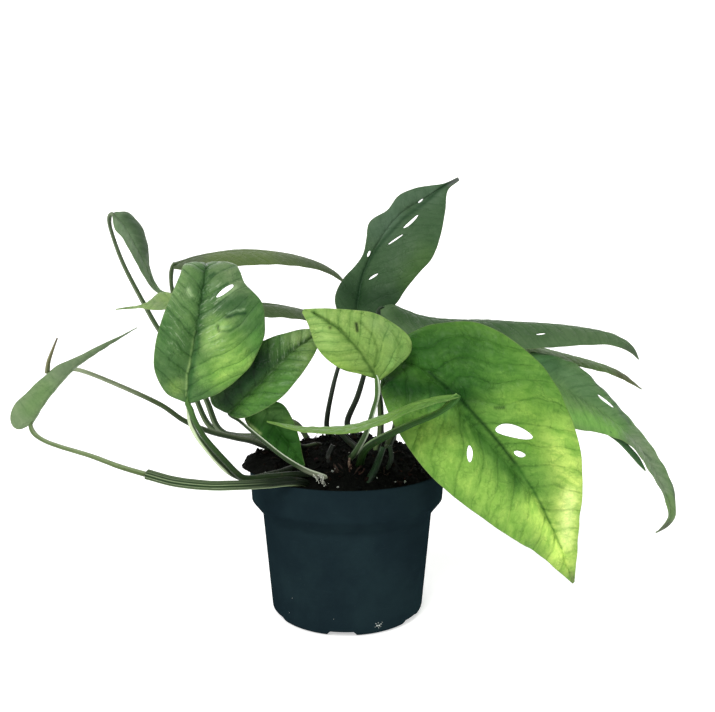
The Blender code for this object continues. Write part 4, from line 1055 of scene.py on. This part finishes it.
def make_stalk(name):
    """A ridged stalk, streaked along its length, that swells where it joins its blade and then
    thins into the blade's midrib."""
    look = STALK_LOOKS[name]
    stalk, line, under = stalk_path(name)
    count = len(line)
    share = np.linspace(0, 1, count)
    to_blade = (count - 1) * STALK_GRID - under - np.arange(count) * STALK_GRID
    radii = look.girth * (stalk.radius[0] + (stalk.radius[1] - stalk.radius[0]) * share)
    radii = radii * (1 + look.swelling * np.exp(-(((to_blade - 5) / 4) ** 2)))
    if under:
        radii = radii * np.clip(1 + to_blade / under * 0.7, 0.3, 1)
    tangent = unit(np.gradient(line, axis=0))
    across = np.cross(tangent[0], (0.0, 0.0, 1.0))
    if np.linalg.norm(across) < 0.1:
        across = np.cross(tangent[0], (0.0, 1.0, 0.0))
    angle = np.linspace(0, 2 * np.pi, STALK_SIDES, endpoint=False)
    shape = 1 + look.ridge_depth * np.cos(look.ridges * angle)
    shape -= 0.18 * np.exp(-((((angle + np.pi / 2 + np.pi) % (2 * np.pi)) - np.pi) / 0.4) ** 2)
    side_way = unit(np.array(look.side_way, float))
    colours = np.array([linear(c) for c in numbers(look.colours)])
    stops = np.linspace(0, 1, len(colours))
    points, tones, ways = [], [], []
    rings = [(i, 1.0, 0.0) for i in range(count)]
    if look.open_end:
        rings += [(count - 1, 0.72, 0.0), (count - 2, 0.66, 0.0), (count - 4, 0.6, 0.0)]
    else:
        rings += [(count - 1, 0.8, 0.25), (count - 1, 0.4, 0.4)]
    for i, scale, push in rings:
        ahead = tangent[i]
        across = unit(across - (across @ ahead) * ahead)
        other = np.cross(ahead, across)
        way = np.outer(np.cos(angle), across) + np.outer(np.sin(angle), other)
        rough = 1 + 0.04 * noise.noise(Vector(line[i] * 0.12))
        points.append(line[i] + ahead * push + way * (radii[i] * scale * rough * shape)[:, None])
        base = np.array([np.interp(share[i], stops, colours[:, k]) for k in range(3)])
        # Painted highlight on the side that faces side_way, and the ridges' crests in the same colour.
        lit = np.clip((way @ side_way - look.side_from) / 0.3, 0, 1) * look.side_strength
        lit = lit * np.clip((share[i] - look.side_start) / 0.08, 0, 1)
        crest = (0.5 + 0.5 * np.cos(look.ridges * angle)) ** 7
        crest = look.stripes * np.clip(share[i] * 4 - 1.2, 0, 1) * crest
        lit = np.maximum(lit, crest)[:, None]
        tone = base * (1 - lit) + linear(look.side) * lit
        # Painted shade inside an open end.
        hollow = scale < HOLLOW_FROM and look.open_end
        tones.append(np.hstack((tone * (HOLLOW_SHADE if hollow else 1), np.ones((len(angle), 1)))))
        flat = np.stack((np.cos(angle), np.sin(angle)), axis=-1) * radii[i]
        ways.append(np.hstack((flat + name_seed(name), np.full((len(angle), 1), i * STALK_GRID))))
    build(
        f"{name}_skin", np.vstack(points), tube(len(rings), len(angle)), (MATERIALS["stalk"],),
        {"tone": np.vstack(tones), "way": np.vstack(ways)}, stands_for=(name,), sharp=60,
    )


def name_seed(name):
    """A number of the piece's own, that moves its figure away from the others'."""
    return sum(map(ord, name)) % 97 * 3.0


def clod_share(angle_deg):
    """How much of the clod that spills over the rim lies at this angle, 0 to 1."""
    turn = (angle_deg - CLOD_ANGLE_DEG + 180) % 360 - 180
    return math.exp(-((turn / CLOD_SPREAD_DEG) ** 2))


def soil_top(x, y):
    """Height of the potting mix at x, y, in millimetres."""
    radius = math.hypot(x, y)
    share = min(radius / (RIM_RADIUS - 3), 1.0)
    mound = POT_HEIGHT - MOUND_EDGE_DROP + (MOUND_HEIGHT + MOUND_EDGE_DROP) * (1 - share**2.2)
    lumps = 2.2 * noise.noise(Vector((x, y, 3.0)) * 0.06)
    clod = CLOD_RISE * clod_share(math.degrees(math.atan2(y, x))) * share**4
    return mound + lumps * (1 - share**4) + clod


def crumble(spot):
    """How far the mix's crumbs stand out at this spot, in millimetres."""
    coarse = noise.fractal(Vector(spot) * 0.16, 1.0, 2.0, 3)
    fine = noise.fractal(Vector(spot) * 0.55, 0.9, 2.0, 3)
    return 1.5 * coarse + 0.7 * fine


def pot_profile():
    """Outline from the middle of the underside, up the outside, and down the inside."""
    corner = [
        (
            FOOT_RADIUS - CORNER_RADIUS * (1 - math.sin(math.radians(t))),
            CORNER_RADIUS * (1 - math.cos(math.radians(t))),
        )
        for t in range(0, 86, 12)
    ]
    step, collar = np.array(STEP_BOTTOM), np.array(COLLAR_BOTTOM)
    slope = (collar - step) / np.linalg.norm(collar - step)
    soft = [
        tuple(step + (-0.12, -1.2)), tuple(step + slope * 0.35), tuple(step + slope * 1.4),
        tuple(collar - slope * 0.9), tuple(collar + (0.0, 0.1)), tuple(collar + (0.05, 1.0)),
    ]
    lip = [
        (RIM_RADIUS - 0.05, POT_HEIGHT - 0.8), (RIM_RADIUS - 0.1, POT_HEIGHT - 0.35),
        (RIM_RADIUS - 0.4, POT_HEIGHT - 0.05), (RIM_RADIUS - 0.8, POT_HEIGHT),
        (RIM_RADIUS - WALL + 0.4, POT_HEIGHT - 0.1), (RIM_RADIUS - WALL, POT_HEIGHT - 0.6),
    ]
    floor = [(FOOT_RADIUS - CORNER_RADIUS, FLOOR_TOP), (0, FLOOR_TOP)]
    return [(0, 0), *corner, *soft, *lip, *INNER_WALL, *floor]


def make_pot():
    """The pot's thin shell, with drain slots cut through the corner of its foot."""
    profile = pot_profile()
    angle = np.linspace(0, 2 * np.pi, POT_SIDES, endpoint=False)
    rings = [np.stack((r * np.cos(angle), r * np.sin(angle), np.full_like(angle, z)), axis=-1)
             for r, z in profile[1:-1]]
    points = [np.array((0, 0, profile[0][1])), *np.vstack(rings), np.array((0, 0, profile[-1][1]))]
    last, n = len(points) - 1, POT_SIDES
    faces = []
    for k in range(n):
        after = (k + 1) % n
        faces.append((0, 1 + after, 1 + k))
        faces.append((last, last - n + k, last - n + after))
        for i in range(len(rings) - 1):
            a, c = 1 + i * n + k, 1 + i * n + after
            faces.append((a, c, c + n, a + n))
    pot = build(
        "pot_shell", points, faces, (MATERIALS["pot_plastic"],), {},
        stands_for=("pot",), sharp=35,
    )
    for k in range(SLOT_COUNT):
        bottom, top = SLOT_BOTTOM_WIDTH / 2, SLOT_TOP_WIDTH / 2
        section = [
            (-bottom, -1.0), (bottom, -1.0), (top + 0.4, SLOT_HEIGHT - 0.9), (top - 0.5, SLOT_HEIGHT),
            (-top + 0.5, SLOT_HEIGHT), (-top - 0.4, SLOT_HEIGHT - 0.9),
        ]
        shape = bmesh.new()
        near, far = (
            [shape.verts.new((x * MM, y * MM, z * MM)) for y, z in section]
            for x in (SLOT_INNER_RADIUS, FOOT_RADIUS + 4)
        )
        shape.faces.new(near)
        shape.faces.new(far)
        for i in range(len(section)):
            j = (i + 1) % len(section)
            shape.faces.new((near[i], near[j], far[j], far[i]))
        bmesh.ops.recalc_face_normals(shape, faces=shape.faces)
        mesh = bpy.data.meshes.new("slot_cutter")
        shape.to_mesh(mesh)
        shape.free()
        cutter = placed("slot_cutter", mesh)
        cutter.rotation_euler.z = math.radians(FRONT_SLOT_ANGLE + 360 / SLOT_COUNT * k)
        cut = pot.modifiers.new("slot", "BOOLEAN")
        cut.object = cutter
        bpy.context.view_layer.objects.active = pot
        bpy.ops.object.modifier_apply(modifier=cut.name)
        bpy.data.objects.remove(cutter)


def make_soil():
    """The potting mix: it fills the pot, mounds above the rim and spills over it on the left."""
    columns = []
    for k in range(MIX_SIDES):
        angle = 360 / MIX_SIDES * k
        way = np.array((math.cos(math.radians(angle)), math.sin(math.radians(angle))))
        clod = clod_share(angle)
        lip = POT_HEIGHT - MIX_DEPTH + (MIX_DEPTH + GAP) * min(1.0, clod / 0.05)
        edge = RIM_RADIUS - WALL - SIDE_GAP
        over = edge + (WALL + SIDE_GAP + CLOD_OVERHANG) * max(0.0, clod - 0.25) / 0.75
        column = [(FOOT_RADIUS - CORNER_RADIUS - 1, FLOOR_TOP + GAP)]
        column += [(r - SIDE_GAP, z) for r, z in reversed(INNER_WALL)] + [(edge, lip)]
        rise = max(soil_top(*(way * (over - 1.5))) - CLOD_SETTLED * CLOD_RISE * clod, lip + LEAST_RISE)
        for t in (0.1, 0.35, 0.6, 0.8):
            r = edge + (over - edge) * min(1, t * 4) + math.sin(t * math.pi) * 0.4
            column.append((r, lip + 0.3 + (rise - lip - 0.3) * t))
        start = len(column)
        for ring in range(MIX_RINGS, 0, -1):
            r = (over - 0.8) * ring / MIX_RINGS
            worn = min(1.0, max(0.0, (r - over + 0.8 + CLOD_ROUNDING) / CLOD_ROUNDING))
            drop = CLOD_SETTLED * CLOD_RISE * clod * (1 - math.sqrt(1 - worn**2))
            column.append((r, max(soil_top(*(way * r)) - drop, lip + LEAST_RISE)))
        spots = [np.array((*(way * r), z)) for r, z in column]
        for i in range(start - 4, len(spots)):
            outward = unit(np.array((*way * (1.0 if i < start else 0.25), 0.4 if i < start else 1.0)))
            sink = 0.8 if i < start else 0.0
            spots[i] = spots[i] + outward * (crumble(spots[i]) - sink)
        columns.append(spots)
    count = len(columns[0])
    points = [np.array((0, 0, FLOOR_TOP + GAP)), *np.vstack(columns), np.array((0, 0, soil_top(0, 0)))]
    faces = []
    for k in range(MIX_SIDES):
        here, there = 1 + k * count, 1 + (k + 1) % MIX_SIDES * count
        faces.append((0, there, here))
        for i in range(count - 1):
            faces.append((here + i, there + i, there + i + 1, here + i + 1))
        faces.append((here + count - 1, there + count - 1, len(points) - 1))
    points = np.vstack(points)
    dark = np.array([0.5 + 0.5 * noise.noise(Vector(p) * 0.3) for p in points])[:, None]
    tone = linear((8, 10, 8)) * (1 - dark) + linear((18, 19, 16)) * dark
    tone = np.hstack((tone, np.ones((len(points), 1))))
    build(
        "mix_surface", points, faces, (MATERIALS["grit"],), {"tone": tone},
        stands_for=("potting_mix",), sharp=50,
    )


def chunk(centre, size, flat, colour):
    """A small irregular lump: its points, faces and colour."""
    shape = bmesh.new()
    bmesh.ops.create_icosphere(shape, subdivisions=1, radius=1.0)
    stretch = size * np.array((1.0, RANDOM.uniform(0.5, 0.9), flat))
    turn = random_turn()
    points = np.array([v.co for v in shape.verts])
    points = points * RANDOM.uniform(0.7, 1.15, (len(points), 1)) * stretch
    faces = [[v.index for v in f.verts] for f in shape.faces]
    shape.free()
    return points @ turn.T + centre, faces, colour


def random_turn():
    """A random rotation matrix."""
    turn, _ = np.linalg.qr(RANDOM.normal(size=(3, 3)))
    return turn * np.sign(np.linalg.det(turn))


def join_chunks(name, chunks, material="grit"):
    """One piece out of many lumps or tubes."""
    points, faces, tones, start = [], [], [], 0
    for verts, quads, colour in chunks:
        points.append(verts)
        faces += [[start + i for i in face] for face in quads]
        tones.append(np.tile((*linear(colour), 1.0), (len(verts), 1)))
        start += len(verts)
    layers = {"tone": np.vstack(tones)}
    build(name, np.vstack(points), faces, (MATERIALS[material],), layers, sharp=50)


def on_soil(radius_limit):
    """A random spot on the mix's top."""
    angle, radius = RANDOM.uniform(0, 2 * np.pi), radius_limit * math.sqrt(RANDOM.uniform())
    x, y = radius * math.cos(angle), radius * math.sin(angle)
    return np.array((x, y, soil_top(x, y)))


def thread(line, radii, colour, sides):
    """A thin tube along a line of points: its points, faces and colour."""
    ahead = unit(np.gradient(np.array(line, float), axis=0))
    across = unit(np.cross(ahead, (0.13, 0.21, 0.97)))
    other = np.cross(ahead, across)
    turn = np.linspace(0, 2 * np.pi, sides, endpoint=False)[None, :, None]
    ring = across[:, None] * np.cos(turn) + other[:, None] * np.sin(turn)
    points = (np.array(line)[:, None] + ring * np.asarray(radii)[:, None, None]).reshape(-1, 3)
    return points, tube(len(line), sides), colour


def strand(start, heading, length, radius, colour):
    """A fibre that wanders from start and stays on or above the mix."""
    line = []
    spot, ahead = np.array(start, float), unit(np.array(heading, float))
    for _ in range(STRAND_STEPS):
        line.append(spot)
        ahead = unit(ahead + RANDOM.normal(0, 0.3, 3) + (0, 0, -0.15))
        spot = spot + ahead * length / STRAND_STEPS
        if math.hypot(spot[0], spot[1]) < RIM_RADIUS:
            spot = np.array((*spot[:2], max(spot[2], soil_top(*spot[:2]) + 0.3)))
    return thread(line, np.linspace(radius, radius / 2, len(line)), colour, 5)


def scatter_bits():
    """Bark chips, white perlite grains and fibres on the mix, a few grains at the pot's foot, the
    frayed end of the stalk at the front of the rim, and the bare roots."""
    barks = ((13, 13, 11), (22, 20, 17), (10, 11, 9), (34, 25, 20), (12, 16, 14))
    chips = []
    for _ in range(BARK_COUNT):
        spot = on_soil(RIM_RADIUS - 4.5)
        size = RANDOM.uniform(0.9, 2.6)
        colour = barks[RANDOM.integers(len(barks))]
        place = spot + (0, 0, 0.25 * size + crumble(spot))
        chips.append(chunk(place, size, RANDOM.uniform(0.25, 0.6), colour))
    for across, up, *colour in numbers(REDDISH_CHIPS):
        chips.append(chunk(on_sight(across, up), RANDOM.uniform(1.0, 1.8), 0.5, colour))
    join_chunks("bark_chips", chips)
    grains = []
    for across, up, size in numbers(PERLITE):
        grains.append(chunk(on_sight(across, up), size, 0.8, (168, 174, 166)))
    for _ in range(PALE_COUNT):
        spot = on_soil(RIM_RADIUS - 4)
        size = RANDOM.uniform(0.3, 0.6)
        grains.append(chunk(spot + (0, 0, crumble(spot) + 0.3), size, 0.8, (140, 144, 134)))
    for across, up, size in numbers(FOOT_GRAINS):
        grains.append(chunk(on_sight(across, up), size, 0.5, (176, 182, 176)))
    join_chunks("perlite_grains", grains, "perlite")
    fibres = []
    for _ in range(FIBRE_COUNT):
        spot = on_soil(RIM_RADIUS - 7)
        heading = RANDOM.normal(0, 1, 3) * (1, 1, 0.25) + (0, 0, 0.35)
        colour = ((44, 34, 28), (26, 22, 20), (64, 54, 46))[RANDOM.integers(3)]
        length, radius = RANDOM.uniform(6, 16), RANDOM.uniform(0.14, 0.32)
        fibres.append(strand(spot + (0, 0, 1.0), heading, length, radius, colour))
    join_chunks("mix_fibres", fibres)
    frays = []
    for _ in range(FRAY_COUNT):
        start = sighted(RANDOM.uniform(-22, -15), RANDOM.uniform(82.5, 87), RANDOM.uniform(49, 53))
        length, radius = RANDOM.uniform(3, 7), RANDOM.uniform(0.2, 0.45)
        frays.append(strand(start, (1.0, -0.3, -0.7), length, radius, (214, 218, 204)))
    join_chunks("frayed_end", frays)
    roots = []
    for root in ROOTS.strip().splitlines():
        route, (radii,), (colour,) = map(numbers, root.split("|"))
        line = smooth_path([sighted(*s) for s in route], 0.8)
        roots.append(thread(line, np.interp(np.linspace(0, 1, len(line)), (0, 0.5, 1), radii), colour, 12))
    join_chunks("bare_roots", roots)


def on_sight(across, up):
    """Where the line of sight through across, up first meets the mix's top or the pot's outside."""
    way = unit(sighted(across, up, 0.0) - EYE)
    outside = pot_profile()[1:-6]
    radii, heights = zip(*outside)
    for reach in np.arange(380.0, 620.0, 0.25):
        spot = EYE + way * reach
        radius = math.hypot(spot[0], spot[1])
        if radius < RIM_RADIUS + 6 and spot[2] < POT_HEIGHT + 30:
            wall = np.interp(spot[2], heights, radii)
            if spot[2] <= POT_HEIGHT and radius <= wall + 0.15:
                return spot
            if radius < RIM_RADIUS - 3 and spot[2] <= soil_top(spot[0], spot[1]) + 0.3:
                return spot
    return EYE + way * 500


# Bits drawn by sight: across, up and a chip's red, green and blue, or a grain's size in mm
REDDISH_CHIPS = """
34 88 58 32 26, 40 86 50 28 24, 44 83 44 26 24, 37 83 54 32 26, 3 91 46 32 28, -20 96 44 28 30,
-26 101 40 28 30, 8 88 50 30 26"""
PERLITE = """
-44.5 80 0.9, -14.5 78.6 0.9, -6 77.8 1, 31 80.8 1.1, 37 81.3 1.1, 33.5 80.9 0.8, -59.5 88.6 1.5,
-56.8 87.4 1.2, -52.5 87.2 1.1, -62 89.6 0.9, -9.5 88.5 0.9, -7.6 90 0.8, 19 84 0.7, -30 86 0.7,
27 94 0.7"""
FOOT_GRAINS = """
18.6 -13.8 0.5, 20.2 -13.2 0.45, 21.9 -14 0.55, 19.4 -15.2 0.75, 20.8 -15 0.6, 22.7 -12.8 0.4,
20.4 -16.6 0.4, 18.1 -16 0.35, 21.8 -15.8 0.35, -36 4 0.25, -9 -10.5 0.25, -38 -6 0.25"""

# Bare roots: sighted points | radius at the top, the middle and the end | colour
ROOTS = """
1.5 97 37, 1.2 93 40, 2.6 89 42, 3.2 85.5 43 | 0.6 0.9 0.5 | 126 108 94
2.6 93 41, 1.4 90 43, 1.8 87 44 | 0.4 0.5 0.3 | 70 50 44
-8 92.5 40, -6.2 89 43, -4.4 86.5 44 | 0.5 0.8 0.5 | 70 58 52
-6 93.5 38, -3.5 90.5 41, -2.4 87.5 43 | 0.4 0.6 0.4 | 56 46 42
9 92 40, 6.5 89.5 43, 4.5 86 45 | 0.4 0.5 0.3 | 64 54 46
11 90 42, 9.5 87.5 44, 6.5 86 46 | 0.4 0.5 0.3 | 70 52 46"""


def make_stage():
    """A pale floor that sweeps up into a backdrop."""
    profile = [(-4.0, 0.0), (1.6, 0.0)]
    for t in range(10, 91, 10):
        profile.append((1.6 + 1.2 * math.sin(math.radians(t)), 1.2 * (1 - math.cos(math.radians(t)))))
    profile.append((2.8, 6.0))
    points = [(x, y, z) for y, z in profile for x in (-6.0, 6.0)]
    faces = [(2 * i, 2 * i + 1, 2 * i + 3, 2 * i + 2) for i in range(len(profile) - 1)]
    mesh = bpy.data.meshes.new("floor")
    mesh.from_pydata(points, [], faces)
    mesh.shade_smooth()
    pale = Shade("floor").surface(
        Base_Color=(0.8, 0.8, 0.8), Roughness=0.9, Specular_IOR_Level=0.0,
        Emission_Color=(1.0, 1.0, 1.0), Emission_Strength=0.5,
    )
    mesh.materials.append(pale)
    placed("floor", mesh)


def make_light(name, kind, power, colour, way):
    """A lamp of this kind, and its object, that shines this way."""
    light = bpy.data.lights.new(name, kind)
    light.energy, light.color = power, colour
    obj = placed(name, light)
    obj.rotation_euler = Vector(way).to_track_quat("-Z", "Y").to_euler()
    return light, obj


def make_view():
    """The camera, the sky, a soft sun from the viewer's left and a weak lamp on the right."""
    scene = bpy.context.scene
    camera = bpy.data.cameras.new("camera")
    camera.lens, camera.sensor_width = 40.28, 36.0
    camera.clip_start = 0.01
    obj = placed("camera", camera)
    obj.location = EYE * MM
    obj.rotation_euler = (math.radians(83.45), 0.0, math.radians(-0.75))
    scene.camera = obj
    scene.view_settings.view_transform = "Standard"
    world = bpy.data.worlds.new("world")
    scene.world = world
    world.use_nodes = True
    sky = world.node_tree.nodes["Background"]
    sky.inputs["Color"].default_value = (1.0, 1.0, 1.0, 1.0)
    sky.inputs["Strength"].default_value = 0.4
    sun, _ = make_light("key", "SUN", 2.4, (1.0, 0.995, 0.98), (0.35, 0.7, -0.75))
    sun.angle = math.radians(30)
    place, target = Vector((1.2, -0.9, 0.9)), Vector((0.0, 0.0, 0.15))
    lamp, fill = make_light("fill", "AREA", 5.0, (0.98, 1.0, 1.0), target - place)
    lamp.shape, lamp.size = "DISK", 0.9
    fill.location = place


MATERIALS = {
    "leaf_soft": leaf_material("leaf_soft", True, 0.07, 0.34, 0.5),
    "leaf_waxy": leaf_material("leaf_waxy", True, 0.14, 0.26, 0.42),
    "leaf_dull": leaf_material("leaf_dull", True, 0.14, 0.4, 0.6),
    "leaf_under": leaf_material("leaf_under", False, 0.08, 0.5, 0.65),
    "stalk": stalk_material(),
    "pot_plastic": pot_material(),
    "grit": grit_material("grit", 0.9, 0.6),
    "perlite": grit_material("perlite", 0.85, 0.2),
}

make_view()
make_stage()
make_pot()
make_soil()
scatter_bits()
for number, (leaf_name, leaf) in enumerate(LEAVES.items()):
    make_leaf(leaf_name, leaf, LOOKS[leaf_name], number + 1, (f"{leaf_name}_leaf",))
make_leaf("drooping_lobe", DROOPING_LOBE, DROOPING_LOBE_LOOK, 30)
for stalk_name in STALK_LOOKS:
    make_stalk(stalk_name)
